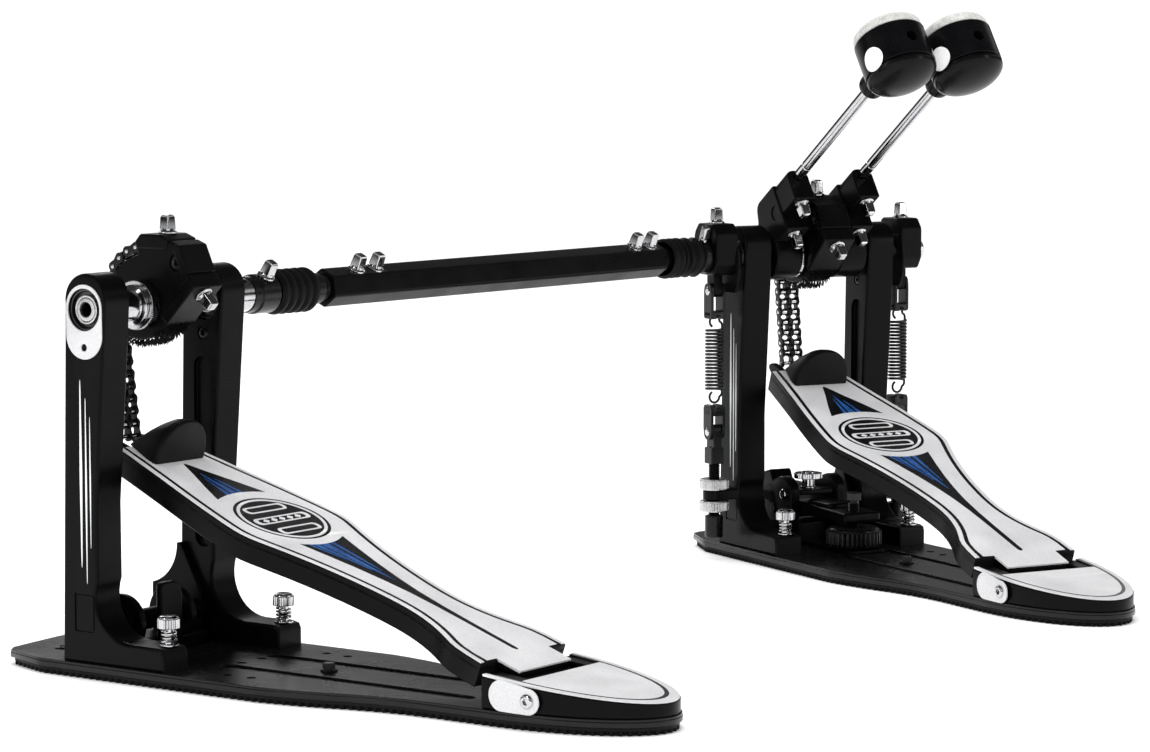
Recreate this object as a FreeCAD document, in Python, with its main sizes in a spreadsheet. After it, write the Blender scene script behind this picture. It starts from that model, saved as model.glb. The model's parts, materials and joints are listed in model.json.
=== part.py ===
import FreeCAD
import Part
import Sketcher
import math
import os

# A double bass drum pedal: the main pedal with two beaters, the slave pedal to its
# left, and the telescopic drive shaft that joins them. Millimetres, Z up. X runs along
# the main axle, Y towards the drum, and the origin lies on the floor under its middle.

doc = FreeCAD.newDocument("double_bass_drum_pedal")

SIZES = {
    # frame
    "axle_height": 185.0,
    "post_outer": 53.5,
    "post_inner": 34.5,
    "post_front": 17.5,
    "post_head_radius": 13.5,
    "foot_length": 49.5,
    "foot_top": 20.0,
    "bearing_radius": 11.0,
    "spur_washer_radius": 5.0,
    "spur_spring_radius": 4.2,
    "spur_knob_radius": 5.6,
    "cross_tube_radius": 5.5,
    "cross_tube_height": 24.0,
    "cross_disc_radius": 15.0,
    "gusset_thickness": 4.0,
    # base, mat and heel
    "mat_thickness": 4.0,
    "base_top": 8.0,
    "base_front": 70.0,
    "base_half_width": 55.5,
    "waist_half_width": 38.5,
    "groove_x": 18.0,
    "groove_half_width": 4.2,
    "groove_front": 62.0,
    "groove_back": 212.0,
    "groove_depth": 1.2,
    "heel_start": 240.0,
    "heel_round": 77.0,
    "heel_top": 24.5,
    "heel_notch_half": 22.5,
    "heel_notch_back": 251.4,
    "heel_front": 233.0,
    "hinge_back": 241.0,
    "hinge_height": 15.0,
    "hinge_pin_radius": 3.0,
    # footboard
    "board_back": 230.5,
    "board_low": 28.9,
    "board_slope": 19.5,
    "board_length": 252.0,
    "board_thickness": 4.0,
    "board_skirt": 13.0,
    "board_wall": 4.5,
    "board_wide": 39.8,
    "board_waist": 19.8,
    "board_toe": 22.5,
    "tongue_half": 20.8,
    "tongue_length": 13.8,
    "stop_back": 229.0,
    "stop_front": 254.0,
    "stop_radius": 18.5,
    "stop_top": 22.0,
    # drive
    "axle_radius": 6.0,
    "core_radius": 4.0,
    "sleeve_radius": 7.0,
    "running_fit": 0.05,
    "press_fit": 0.02,
    "pivot_pin_radius": 1.9,
    "cam_half_width": 11.0,
    "drum_radius": 24.6,
    "chain_pitch": 6.35,
    "chain_radius": 29.5,
    "chain_lean": 7.5,
    "run_links": 11.0,
    "link_half_height": 2.9,
    "link_plate": 0.8,
    "link_outer_half": 7.2,
    "link_inner_start": 0.95,
    "link_strand_width": 5.25,
    "link_pin_radius": 1.1,
    "link_bush_radius": 1.65,
    # beaters
    "beater_lean": 55.5,
    "beater_offset": 26.5,
    "socket_front": 11.0,
    "socket_top": 46.5,
    "beater_spacing": 46.0,
    "beater_reach": 174.5,
    "beater_rod_radius": 3.3,
    "head_radius": 21.2,
    "head_back": 6.5,
    "head_front": 39.0,
    "felt_thickness": 7.5,
    # springs
    "rocker_x": 66.0,
    "rocker_half": 7.3,
    "rocker_pin_drop": 21.0,
    "lobe_thickness": 1.6,
    "spring_y": 2.0,
    "bracket_half": 6.8,
    "ear_inner": 3.2,
    "ear_thickness": 1.8,
    "spring_low": 103.0,
    "spring_high": 142.0,
    "spring_radius": 6.0,
    "spring_wire": 1.5,
    "spring_foot": 78.5,
    "nut_radius": 9.0,
    # slave pedal and drive shaft
    "slave_x": -500.3,
    "slave_y": -178.4,
    "slave_turn": 26.08,
    "slave_joint": 103.0,
    "main_joint": 94.3,
    "tube_flats": 18.5,
    "rod_radius": 5.9,
    "boot_radius": 12.0,
    "boot_bore": 10.0,
    "boot_half": 14.5,
}

sheet = doc.addObject("Spreadsheet::Sheet", "Sizes")
for row, (alias, number) in enumerate(SIZES.items(), start=1):
    sheet.set(f"A{row}", alias)
    sheet.set(f"B{row}", str(number))
    sheet.setAlias(f"B{row}", alias)
doc.recompute()


class Dim:
    """A length that carries both its value and its spreadsheet expression."""

    def __init__(self, value, text):
        self.value = float(value)
        self.text = text

    def join(self, other, sign, value, swap=False):
        text = other.text if isinstance(other, Dim) else repr(float(other))
        left, right = (text, self.text) if swap else (self.text, text)
        return Dim(value, f"({left} {sign} {right})")

    def __add__(self, other):
        return self.join(other, "+", self.value + number(other))

    def __radd__(self, other):
        return self.join(other, "+", self.value + number(other), swap=True)

    def __sub__(self, other):
        return self.join(other, "-", self.value - number(other))

    def __rsub__(self, other):
        return self.join(other, "-", number(other) - self.value, swap=True)

    def __mul__(self, other):
        return self.join(other, "*", self.value * number(other))

    def __rmul__(self, other):
        return self.join(other, "*", self.value * number(other), swap=True)

    def __truediv__(self, other):
        return self.join(other, "/", self.value / number(other))

    def __neg__(self):
        return Dim(-self.value, f"(-{self.text})")


class Sizes:
    """Each alias of the sheet as a Dim."""

    def __getattr__(self, alias):
        return Dim(sheet.get(alias), f"Sizes.{alias}")


def number(value):
    return value.value if isinstance(value, Dim) else float(value)


def vector(x, y, z=0):
    return FreeCAD.Vector(number(x), number(y), number(z))


def bind(obj, prop, value):
    """Set a property, and bind it to the sheet where the value comes from there."""
    if isinstance(value, Dim):
        obj.setExpression(prop, value.text)
    else:
        setattr(obj, prop, value)


def place_at(obj, at, rotation=FreeCAD.Rotation()):
    obj.Placement = FreeCAD.Placement(vector(*at), rotation)
    for axis, value in zip("xyz", at):
        if isinstance(value, Dim):
            obj.setExpression(f"Placement.Base.{axis}", value.text)


size = Sizes()
AXES = {"X": FreeCAD.Vector(1, 0, 0), "Y": FreeCAD.Vector(0, 1, 0), "Z": FreeCAD.Vector(0, 0, 1)}
UP = AXES["Z"]
HERE = FreeCAD.Placement()
TUBE_ROLL = 24.0
subparts = []


# ---------------------------------------------------------------- building blocks

def box(x, y, z):
    """A block between the pairs of limits in x, y and z."""
    obj = doc.addObject("Part::Box", "block")
    for prop, pair in zip(("Length", "Width", "Height"), (x, y, z)):
        bind(obj, prop, pair[1] - pair[0])
    place_at(obj, (x[0], y[0], z[0]))
    return obj


def rod(radius, at, length, axis="Z"):
    """A cylinder that starts at a point and runs along an axis or a direction."""
    obj = doc.addObject("Part::Cylinder", "rod")
    bind(obj, "Radius", radius)
    bind(obj, "Height", length)
    direction = AXES[axis] if isinstance(axis, str) else axis
    place_at(obj, at, FreeCAD.Rotation(UP, direction))
    return obj


def ball(radius, at):
    obj = doc.addObject("Part::Sphere", "ball")
    bind(obj, "Radius", radius)
    place_at(obj, at)
    return obj


def ring(radius, wire, at, axis="X"):
    obj = doc.addObject("Part::Torus", "ring")
    bind(obj, "Radius1", radius)
    bind(obj, "Radius2", wire)
    place_at(obj, at, FreeCAD.Rotation(UP, AXES[axis]))
    return obj


def fuse(*parts):
    obj = doc.addObject("Part::MultiFuse", "fused")
    obj.Shapes = list(parts)
    return obj


def cut(base, *tools):
    obj = doc.addObject("Part::Cut", "cut")
    obj.Base = base
    obj.Tool = tools[0] if len(tools) == 1 else fuse(*tools)
    return obj


def common(*parts):
    obj = doc.addObject("Part::MultiCommon", "common")
    obj.Shapes = list(parts)
    return obj


def group(*parts):
    """Separate solids that share one node."""
    obj = doc.addObject("Part::Compound", "group")
    obj.Links = list(parts)
    return obj


def moved(obj, at, rotation=FreeCAD.Rotation()):
    place_at(obj, at, rotation)
    return obj


def rounded(base, radius, chosen):
    """Fillet the edges of a part that a test picks."""
    doc.recompute()
    obj = doc.addObject("Part::Fillet", "rounded")
    obj.Base = base
    edges = enumerate(base.Shape.Edges, start=1)
    obj.Edges = [(index, radius, radius) for index, edge in edges if chosen(edge)]
    return obj


def carry(obj, place):
    """Move a piece as a whole, from its own frame into another."""
    for axis in "xyz":
        obj.setExpression(f"Placement.Base.{axis}", None)
    obj.Placement = place.multiply(obj.Placement)
    return obj


def subpart(obj, node, place=HERE):
    """Name a finished piece and put it in its place on the pedal."""
    obj.Label = node
    if not place.isIdentity():
        carry(obj, place)
    subparts.append(obj)
    return obj


def arc(middle, end):
    return ("arc", middle, end)


def circle(x, y, radius):
    return ("circle", (x, y), radius)


def add_circle(sketch, centre, radius):
    index = sketch.addGeometry(Part.Circle(vector(*centre), UP, number(radius)), False)
    for kind, value in zip(("DistanceX", "DistanceY"), centre):
        constraint = Sketcher.Constraint(kind, -1, 1, index, 3, number(value))
        tie(sketch, constraint, value)
    tie(sketch, Sketcher.Constraint("Radius", index, number(radius)), radius)


def tie(sketch, constraint, value):
    """Add a dimension to a sketch, bound to the sheet where it comes from there."""
    index = sketch.addConstraint(constraint)
    if isinstance(value, Dim):
        sketch.setExpression(f"Constraints[{index}]", value.text)


def add_path(sketch, path):
    """A closed outline of lines and arcs, with every corner dimensioned."""
    first = sketch.GeometryCount
    corners = [step[2] if step[0] == "arc" else step for step in path]
    count = len(path)
    ends = {}
    for k in range(count):
        start = vector(*corners[k])
        step = path[(k + 1) % count]
        stop = vector(*corners[(k + 1) % count])
        curve = Part.LineSegment(start, stop)
        clockwise = False
        if step[0] == "arc":
            middle = vector(*step[1])
            clockwise = (middle - start).cross(stop - middle).z < 0
            curve = Part.Arc(stop, middle, start) if clockwise else Part.Arc(start, middle, stop)
        index = sketch.addGeometry(curve, False)
        ends[index] = (2, 1) if clockwise else (1, 2)
        if step[0] == "arc":
            radius = sketch.Geometry[index].Radius
            sketch.addConstraint(Sketcher.Constraint("Radius", index, radius))
    for k in range(count):
        here = first + k
        after = first + (k + 1) % count
        sketch.addConstraint(Sketcher.Constraint("Coincident", here, ends[here][1], after, ends[after][0]))
        for kind, value in zip(("DistanceX", "DistanceY"), corners[k]):
            constraint = Sketcher.Constraint(kind, -1, 1, here, ends[here][0], number(value))
            tie(sketch, constraint, value)


def sketch_on(body, plane, offset, loops):
    sketch = body.newObject("Sketcher::SketchObject", "outline")
    planes = body.Origin.OriginFeatures
    sketch.AttachmentSupport = ([p for p in planes if p.Role == plane][0], "")
    sketch.MapMode = "FlatFace"
    sketch.AttachmentOffset = FreeCAD.Placement(vector(0, 0, offset), FreeCAD.Rotation())
    if isinstance(offset, Dim):
        sketch.setExpression("AttachmentOffset.Base.z", offset.text)
    for loop in loops:
        if loop[0] == "circle":
            add_circle(sketch, loop[1], loop[2])
        else:
            add_path(sketch, loop)
    return sketch


def plate(plane, start, thickness, *loops):
    """A body padded from an outline, along the normal of its plane."""
    body = doc.addObject("PartDesign::Body", "plate")
    pad = body.newObject("PartDesign::Pad", "pad")
    pad.Profile = sketch_on(body, plane, start, loops)
    bind(pad, "Length", thickness)
    return body


def pocket(body, plane, start, depth, *loops):
    """Cut an outline into a body, along the normal of its plane."""
    doc.recompute()
    before = body.Shape.Volume
    feature = body.newObject("PartDesign::Pocket", "pocket")
    feature.Profile = sketch_on(body, plane, start, loops)
    feature.Reversed = True
    bind(feature, "Length", depth)
    doc.recompute()
    if body.Shape.Volume > before - 1e-3:
        raise RuntimeError(f"a pocket of {body.Label} cuts nothing")
    return body


def turned(*loops):
    """A body revolved about X from an outline in XY."""
    body = doc.addObject("PartDesign::Body", "turned")
    feature = body.newObject("PartDesign::Revolution", "turn")
    feature.Profile = sketch_on(body, "XY_Plane", 0, loops)
    feature.ReferenceAxis = (feature.Profile[0], ["H_Axis"])
    return body


def mirrored(path):
    """Close a right-hand outline with its own mirror image about the Y axis."""
    left = []
    corners = [step[2] if step[0] == "arc" else step for step in path]
    for k in range(len(path) - 1, 0, -1):
        x, y = corners[k - 1]
        if path[k][0] == "arc":
            mx, my = path[k][1]
            left.append(arc((-mx, my), (-x, y)))
        else:
            left.append((-x, y))
    last = corners[-1]
    return list(path) + [(-last[0], last[1])] + left


def key_bolt(at, direction, flange_radius=4.8):
    """A square-headed bolt with a round flange, standing on a surface."""
    half = min(3.0, flange_radius - 0.6)
    flange = rod(flange_radius, (0, 0, size.press_fit), 1.6)
    neck = rod(2.4, (0, 0, 1.5), 2.0)
    head = box((-half, half), (-half, half), (3.0, 9.5))
    turn = FreeCAD.Rotation(UP, vector(*direction))
    return moved(fuse(flange, neck, head), at, turn)


# ---------------------------------------------------------------- frame of a pedal

def floor_outline(inset):
    """The base seen from above: wide at the posts, narrow at the heel."""
    wide = size.base_half_width - inset
    waist = size.waist_half_width - inset
    back = -size.heel_start
    round_length = size.heel_round
    tip = back - round_length + inset
    return mirrored([
        (2.0, size.base_front - inset),
        (44.0 - inset, size.base_front - 6 - inset),
        (wide, 30.0),
        (wide, -108.0),
        arc((wide - 4.5, -135.0), (waist + 6, -158.0)),
        (waist, -200.0),
        (waist, back),
        arc((waist * 0.93, back - round_length * 0.367), (waist * 0.70, back - round_length * 0.714 + inset)),
        arc((waist * 0.37, tip + size.heel_round * 0.07), (1.0, tip)),
    ])


def make_base(prefix, place):
    base = plate("XY_Plane", size.mat_thickness, size.base_top - size.mat_thickness, floor_outline(0))
    half = size.groove_half_width
    front = -size.groove_front
    back = -size.groove_back
    for side in (-1, 1):
        x = side * size.groove_x
        slot = [
            (x - half, front),
            arc((x, front + 2), (x + half, front)),
            (x + half, back),
            arc((x, back - 2), (x - half, back)),
        ]
        pocket(base, "XY_Plane", size.base_top - size.groove_depth, 3.0, slot)
    subpart(base, f"{prefix}_base_plate", place)
    mat = plate("XY_Plane", 0, size.mat_thickness, floor_outline(1.5))
    subpart(mat, f"{prefix}_rubber_mat", place)


def post_outline():
    """A post seen along X: round head, tapering column and long foot."""
    head = size.post_head_radius
    head_centre = size.axle_height + 4.5
    return [
        (size.post_front, size.base_top),
        (head, head_centre - 2),
        arc((0, head_centre + head), (-head, head_centre - 2)),
        (-6.2, 88.0),
        (-6.4, 50.0),
        arc((-11.0, 29.0), (-26.0, size.foot_top)),
        (4.0 - size.foot_length, size.foot_top),
        (-size.foot_length, size.foot_top - 3),
        (-size.foot_length, size.base_top),
    ]


def make_post(prefix, side, place, bracket):
    width = size.post_outer - size.post_inner
    start = size.post_inner if side > 0 else -size.post_outer
    bearing_hole = circle(0, size.axle_height, size.bearing_radius)
    post = plate("YZ_Plane", start, width, post_outline(), bearing_hole)
    if bracket:
        near = size.post_outer - 2
        far = size.rocker_x + size.bracket_half
        x = (near, far) if side > 0 else (-far, -near)
        y = (size.spring_y - size.bracket_half, size.spring_y + size.bracket_half)
        arm = box(x, y, (37.0, 43.0))
        hole = rod(3.7, (side * size.rocker_x, size.spring_y, 30.0), 20.0)
        post = cut(fuse(post, arm), hole)
    name = "right" if side > 0 else "left"
    subpart(post, f"{prefix}_{name}_post", place)


def make_bearings(prefix, place, bores):
    """One ball bearing in each post, each with its own bore."""
    rings = []
    for side, bore in zip((-1, 1), bores):
        x = size.post_outer - 16.5 if side > 0 else 0.5 - size.post_outer
        outer = rod(size.bearing_radius - size.press_fit, (x, 0, size.axle_height), 16.0, "X")
        hole = rod(bore + size.running_fit, (x - 1, 0, size.axle_height), 18.0, "X")
        rings.append(cut(outer, hole))
    subpart(group(*rings), f"{prefix}_bearings", place)


def heel_outline():
    half = size.waist_half_width - 1.0
    back = -size.heel_start
    notch = size.heel_notch_half
    round_length = size.heel_round
    return mirrored([
        (notch, -size.heel_notch_back),
        (notch, -size.heel_front),
        (half, -size.heel_front),
        (half, back),
        arc((half * 0.93, back - round_length * 0.367), (half * 0.70, back - round_length * 0.714 + 1.0)),
        arc((half * 0.37, back - size.heel_round * 0.93 + 1.0), (1.0, back - size.heel_round + 1.0)),
    ])


def make_heel(prefix, place):
    pin_at = (-30.0, -size.hinge_back, size.hinge_height)
    block = plate("XY_Plane", size.base_top, size.heel_top - size.base_top, heel_outline())
    hole_at = (-30.2, -size.hinge_back, size.hinge_height)
    hole = rod(size.hinge_pin_radius + size.press_fit, hole_at, 60.4, "X")
    subpart(cut(block, hole), f"{prefix}_heel_block", place)
    pin = rod(size.hinge_pin_radius, pin_at, 60.0, "X")
    subpart(pin, f"{prefix}_hinge_pin", place)


def make_spurs(prefix, place):
    """Two knurled spur screws with their springs, standing on the feet of the posts."""
    spurs = []
    for side in (-1, 1):
        x = side * (size.post_inner + size.post_outer) / 2
        y = 4.5 - size.foot_length
        washer = rod(size.spur_washer_radius, (x, y, size.foot_top), 1.0)
        spring = rod(size.spur_spring_radius, (x, y, size.foot_top + 0.8), 8.0)
        knob = rod(size.spur_knob_radius, (x, y, size.foot_top + 8.6), 6.6)
        spurs.append(fuse(washer, spring, knob))
    subpart(group(*spurs), f"{prefix}_spurs", place)


def gussets():
    """Two walls inside the posts, swept forward at the foot."""
    inner = size.post_inner
    thickness = size.gusset_thickness
    outline = [
        (0.0, size.base_top),
        (0.0, 34.0),
        (13.0, 58.0),
        (16.0, 58.0),
        arc((19.5, 45.5), (33.0, 36.0)),
        (33.0, size.base_top),
    ]
    return [plate("YZ_Plane", x, thickness, outline) for x in (-inner, inner - thickness)]


def make_slave_bridge(place):
    """A cross tube with two disc flanges and an upright tab."""
    height = size.cross_tube_height
    tube = rod(size.cross_tube_radius, (-size.post_inner, 4.0, height), size.post_inner * 2, "X")
    flanges = [rod(size.cross_disc_radius, (x, 4.0, height), 4.0, "X") for x in (-26.0, 12.0)]
    saddle = box((-28.0, 28.0), (-8.0, 16.0), (size.base_top, 15.0))
    tab = box((-10.0, 6.0), (-10.0, -6.0), (size.base_top, 44.0))
    subpart(fuse(tube, saddle, tab, *flanges, *gussets()), "slave_bridge", place)


# ---------------------------------------------------------------- footboard

def board_outline(inset):
    """The footboard in its own plane: wide under the toes, waisted, wide at the heel."""
    return mirrored([
        (size.board_toe - inset, size.board_length - inset),
        (29.0 - inset, 216.0),
        arc((35.8 - inset, 183.0), (size.board_wide - inset, 158.0)),
        arc((39.6 - inset, 146.0), (36.8 - inset, 138.0)),
        arc((25.0 - inset, 99.0), (size.board_waist - inset, 62.0)),
        arc((22.6 - inset, 41.0), (30.5 - inset, 23.0)),
        (34.0 - inset, 17.0),
        (34.0 - inset, inset),
    ])


def make_footboard(prefix, place):
    slope = FreeCAD.Rotation(AXES["X"], number(size.board_slope))
    tilt = FreeCAD.Placement(vector(0, -size.board_back, size.board_low), slope)
    board = plate("XY_Plane", -size.board_skirt, size.board_skirt, board_outline(0))
    depth = size.board_skirt - size.board_thickness
    pocket(board, "XY_Plane", -size.board_skirt, depth, board_outline(size.board_wall))
    carry(board, tilt)
    half = size.tongue_half
    tongue = box((-half, half), (-size.tongue_length, 6.0), (-size.board_thickness, 0))
    carry(tongue, tilt)
    back = -size.hinge_back
    height = size.hinge_height
    knuckle = rod(6.0, (-20.0, back, height), 40.0, "X")
    web = box((-20.0, 20.0), (back - 2, back + 12), (height + 1, height + 9))
    cheeks = []
    for x in (-12.5, 9.0):
        cheek = box((x, x + 3.5), (size.board_length - 22, size.board_length + 20), (-9.0, -2.0))
        cheeks.append(carry(cheek, tilt))
    bore = rod(size.hinge_pin_radius + size.running_fit, (-25.0, back, height), 50.0, "X")
    solid = cut(fuse(board, tongue, web, knuckle, *cheeks), bore)
    subpart(solid, f"{prefix}_footboard", place)
    make_toe_stop(prefix, place, tilt)


def make_toe_stop(prefix, place, tilt):
    """A rounded hood on the toe end: upright towards the heel, sloping towards the drum."""
    back = size.stop_back
    front = size.stop_front
    radius = size.stop_radius
    bed = size.press_fit
    side_view = plate("YZ_Plane", -radius, radius * 2, [
        (back, bed),
        (back, size.stop_top),
        (back + 7, size.stop_top - 1.5),
        (back + 16, size.stop_top - 8),
        (front - 3, 6.0),
        (front, bed),
    ])
    from_above = plate("XY_Plane", bed, size.stop_top, [
        (-radius, back),
        (radius, back),
        (radius, back + 7),
        (radius * 0.65, front),
        (-radius * 0.65, front),
        (-radius, back + 7),
    ])
    dome = rod(radius, (0, back - 1, size.stop_top - radius), front - back + 2, "Y")
    stop = common(side_view, from_above, dome)
    carry(stop, tilt)
    subpart(stop, f"{prefix}_toe_stop", place)


# ---------------------------------------------------------------- chain

def link_plate(x, thickness, pitch):
    """A flat plate around two pins, lying along +Z from the first pin."""
    half = number(size.link_half_height)
    top = vector(x, 0, pitch + half)
    low = vector(x, 0, -half)
    right = vector(x, half, 0)
    right_up = vector(x, half, pitch)
    left = vector(x, -half, 0)
    left_up = vector(x, -half, pitch)
    edges = [
        Part.Arc(left, low, right).toShape(),
        Part.LineSegment(right, right_up).toShape(),
        Part.Arc(right_up, top, left_up).toShape(),
        Part.LineSegment(left_up, left).toShape(),
    ]
    return Part.Face(Part.Wire(edges)).extrude(vector(thickness, 0, 0))


def chain_links():
    """The two kinds of link of a double-strand chain, each along +Z from its first pin."""
    pitch = number(size.chain_pitch)
    thick = number(size.link_plate)
    half = number(size.link_outer_half)
    start = number(size.link_inner_start)
    width = number(size.link_strand_width)
    pin = number(size.link_pin_radius)
    bush = number(size.link_bush_radius)
    clearance = number(size.running_fit)
    middle_half = start - 0.25
    ends = (0, pitch)
    outer = link_plate(-middle_half, middle_half * 2, pitch)
    for x in (-half, half - thick):
        outer = outer.fuse(link_plate(x, thick, pitch))
    for z in ends:
        outer = outer.fuse(Part.makeCylinder(pin, half * 2, vector(-half, 0, z), AXES["X"]))
    inner = []
    for low in (-start - width, start):
        strand = link_plate(low, thick, pitch).fuse(link_plate(low + width - thick, thick, pitch))
        for z in ends:
            strand = strand.fuse(Part.makeCylinder(bush, width, vector(low, 0, z), AXES["X"]))
        for z in ends:
            bore = Part.makeCylinder(pin + clearance, width + 2, vector(low - 1, 0, z), AXES["X"])
            strand = strand.cut(bore)
        inner.append(strand)
    return [outer], inner


def chain_piece(node, start, angle, count, links, place, turn=0.0):
    """A chain of links from a first pin; angle is measured from straight up towards -Y."""
    shapes = []
    at = start
    for k in range(count):
        rotation = FreeCAD.Rotation(AXES["X"], angle)
        for solid in links[k % 2]:
            copy = solid.copy()
            copy.Placement = FreeCAD.Placement(at, rotation)
            shapes.append(copy)
        at = at + rotation.multVec(FreeCAD.Vector(0, 0, size.chain_pitch.value))
        angle = angle + turn
    obj = doc.addObject("Part::Feature", "chain")
    obj.Shape = Part.makeCompound(shapes)
    subpart(obj, node, place)


def make_chain(prefix, place):
    """Three lengths: wrapped on the drum, leaving it, and hanging down to the toe."""
    links = chain_links()
    radius = number(size.chain_radius)
    pitch = number(size.chain_pitch)
    centre = vector(0, 0, size.axle_height)
    middle_links = 3
    chord = 2 * math.degrees(math.asin(middle_links * pitch / 2 / radius))
    step = 2 * math.degrees(math.asin(pitch / 2 / radius))

    def on_drum(degrees):
        turn = math.radians(degrees)
        return centre + FreeCAD.Vector(0, radius * math.cos(turn), radius * math.sin(turn))

    wrap_links = 3
    top = chord + wrap_links * step
    first_angle = 180 + top - step / 2
    chain_piece(f"{prefix}_chain_wrap", on_drum(top), first_angle, wrap_links, links, place, -step)
    swapped = (links[1], links[0])
    leaving = 180 + chord / 2
    chain_piece(f"{prefix}_chain_middle", on_drum(chord), leaving, middle_links, swapped, place)
    lean = number(size.chain_lean)
    chain_piece(f"{prefix}_chain_run", on_drum(0), 180 - lean, round(number(size.run_links)), links, place)


# ---------------------------------------------------------------- drives

def cam_outline():
    """The cam seen along X about the axle: round drum towards Y, block opposite."""
    drum = size.drum_radius
    height = size.axle_height
    return [
        arc((drum * 0.8, height + drum * 0.6), (3.5, height + 24.35)),
        (5.0, height + 31.5),
        (1.0, height + 35.6),
        (-11.0, height + 35.6),
        (-19.0, height + 32.5),
        (-24.5, height + 30.5),
        (-30.5, height + 17.0),
        (-34.8, height + 9.8),
        (-16.0, height - 9.5),
        arc((2.0, height - 18.0), (16.0, height - 15.0)),
        (24.18, height - 4.5),
    ]


def make_cam(node, place):
    half = size.cam_half_width
    bore = circle(0, size.axle_height, size.axle_radius + size.press_fit)
    cam = plate("YZ_Plane", -half, half * 2, cam_outline(), bore)
    subpart(cam, node, place)


def make_cam_bolts():
    """Two bolts on the cam: one on top and one on the slope below it."""
    height = size.axle_height
    top = key_bolt((0, -7.8, height + 35.6), (0, 0, 1))
    slope = key_bolt((0, -30.99, height + 5.91), (0, -0.716, -0.698))
    return [top, slope]


def yoke(hub_start, centre, ears_on):
    """A hub along X that ends in two ears around the centre of a universal joint."""
    side = 1 if number(centre) > number(hub_start) else -1
    hub_end = centre - side * 9.0
    low, high = (hub_start, hub_end) if side > 0 else (hub_end, hub_start)
    parts = [rod(7.0, (low, 0, 0), high - low, "X")]
    tip = centre + side * 3.5
    root = hub_end - side * 2.0
    x = (root, tip) if side > 0 else (tip, root)
    for near, far in ((5.2, 8.0), (-8.0, -5.2)):
        across = (near, far)
        along = (-3.5, 3.5)
        parts.append(box(x, across, along) if ears_on == "Y" else box(x, along, across))
    return parts


def cross(centre):
    """The cross of a universal joint, held in the ears that lie along Y."""
    return [
        ball(3.4, (centre, 0, 0)),
        rod(1.8, (centre, -6.0, 0), 12.0, "Y"),
        rod(1.8, (centre, 0, -4.2), 8.4, "Z"),
    ]


def make_main_axle():
    """The right-hand axle, with a thin core that runs inside the left-hand sleeve."""
    height = size.axle_height
    core = rod(size.core_radius, (-50.0, 0, height), 40.0, "X")
    body = rod(size.axle_radius, (-13.0, 0, height), 93.0, "X")
    collar = rod(14.9, (-13.8, 0, height), 2.6, "X")
    subpart(fuse(core, body, collar), "main_axle")


def make_left_sleeve():
    """The hollow axle of the left beater, driven by the universal joint at its end."""
    joint = -size.main_joint
    tube = rod(size.sleeve_radius, (joint + 9, 0, 0), size.main_joint - 9 - 13.9, "X")
    collar = rod(10.0, (joint + 15.2, 0, 0), 5.0, "X")
    bore = rod(size.core_radius + size.running_fit, (-55.0, 0, 0), 50.0, "X")
    sleeve = cut(fuse(tube, collar, *yoke(joint + 20, joint, "Z")), bore)
    subpart(moved(sleeve, (0, 0, size.axle_height)), "left_sleeve")


def make_slave_axle(place):
    joint = size.slave_joint
    shaft = rod(size.axle_radius, (-56.0, 0, 0), 140.0, "X")
    ring_left = rod(12.5, (-17.0, 0, 0), 5.8, "X")
    neck = rod(8.0, (-33.0, 0, 0), 16.5, "X")
    chrome = rod(9.0, (54.3, 0, 0), 17.0, "X")
    clamp = rod(10.5, (72.0, 0, 0), 14.0, "X")
    axle = fuse(shaft, ring_left, neck, chrome, clamp, *yoke(84.0, joint, "Z"))
    subpart(moved(axle, (0, 0, size.axle_height)), "slave_axle", place)


def swing(x):
    """The frame of a beater: its rod along Z, its striking face along Y."""
    lean = FreeCAD.Rotation(AXES["X"], number(size.beater_lean))
    return FreeCAD.Placement(vector(x, 0, size.axle_height), lean)


def make_beater(side, bore):
    name = "right" if side > 0 else "left"
    place = swing(side * size.beater_spacing / 2)
    offset = size.beater_offset
    rod_radius = size.beater_rod_radius
    reach = size.beater_reach
    hub = rod(15.5, (-9.0, 0, 0), 18.0, "X")
    socket = box((-6.8, 6.8), (size.socket_front, offset + 4.5), (4.0, size.socket_top))
    web = box((-8.0, 8.0), (0, offset + 4.5), (0, 30.0))
    holes = [
        rod(bore + size.press_fit, (-12.0, 0, 0), 24.0, "X"),
        rod(rod_radius + size.press_fit, (0, offset, 9.8), 60.0),
    ]
    subpart(cut(fuse(hub, socket, web), *holes), f"{name}_beater_holder", place)
    shaft = rod(rod_radius, (0, offset, 10.0), reach - 18)
    subpart(shaft, f"{name}_beater_rod", place)
    back = size.head_back
    front = size.head_front
    barrel = rounded(rod(size.head_radius, (0, back, reach), front - back, "Y"), 5.0,
                     lambda edge: edge.BoundBox.YMax < number(back) + 0.1)
    boss = rod(6.5, (0, offset, reach - 34), 18.0)
    socket = rod(rod_radius + size.press_fit, (0, offset, reach - 40), 32.2)
    subpart(cut(fuse(barrel, boss), socket), f"{name}_beater_head", place)
    felt = rod(size.head_radius, (0, front, reach), size.felt_thickness, "Y")
    subpart(felt, f"{name}_beater_felt", place)


def beater_bolts(side):
    """The bolt that grips the rod and the bolt that grips the axle."""
    place = swing(side * size.beater_spacing / 2)
    grip = key_bolt((0, size.socket_front, 40.6), (0, -1, 0))
    clamp = key_bolt((0, 0, 23.4), (0, -1, 0))
    bolts = group(grip, clamp)
    return carry(bolts, place)


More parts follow.
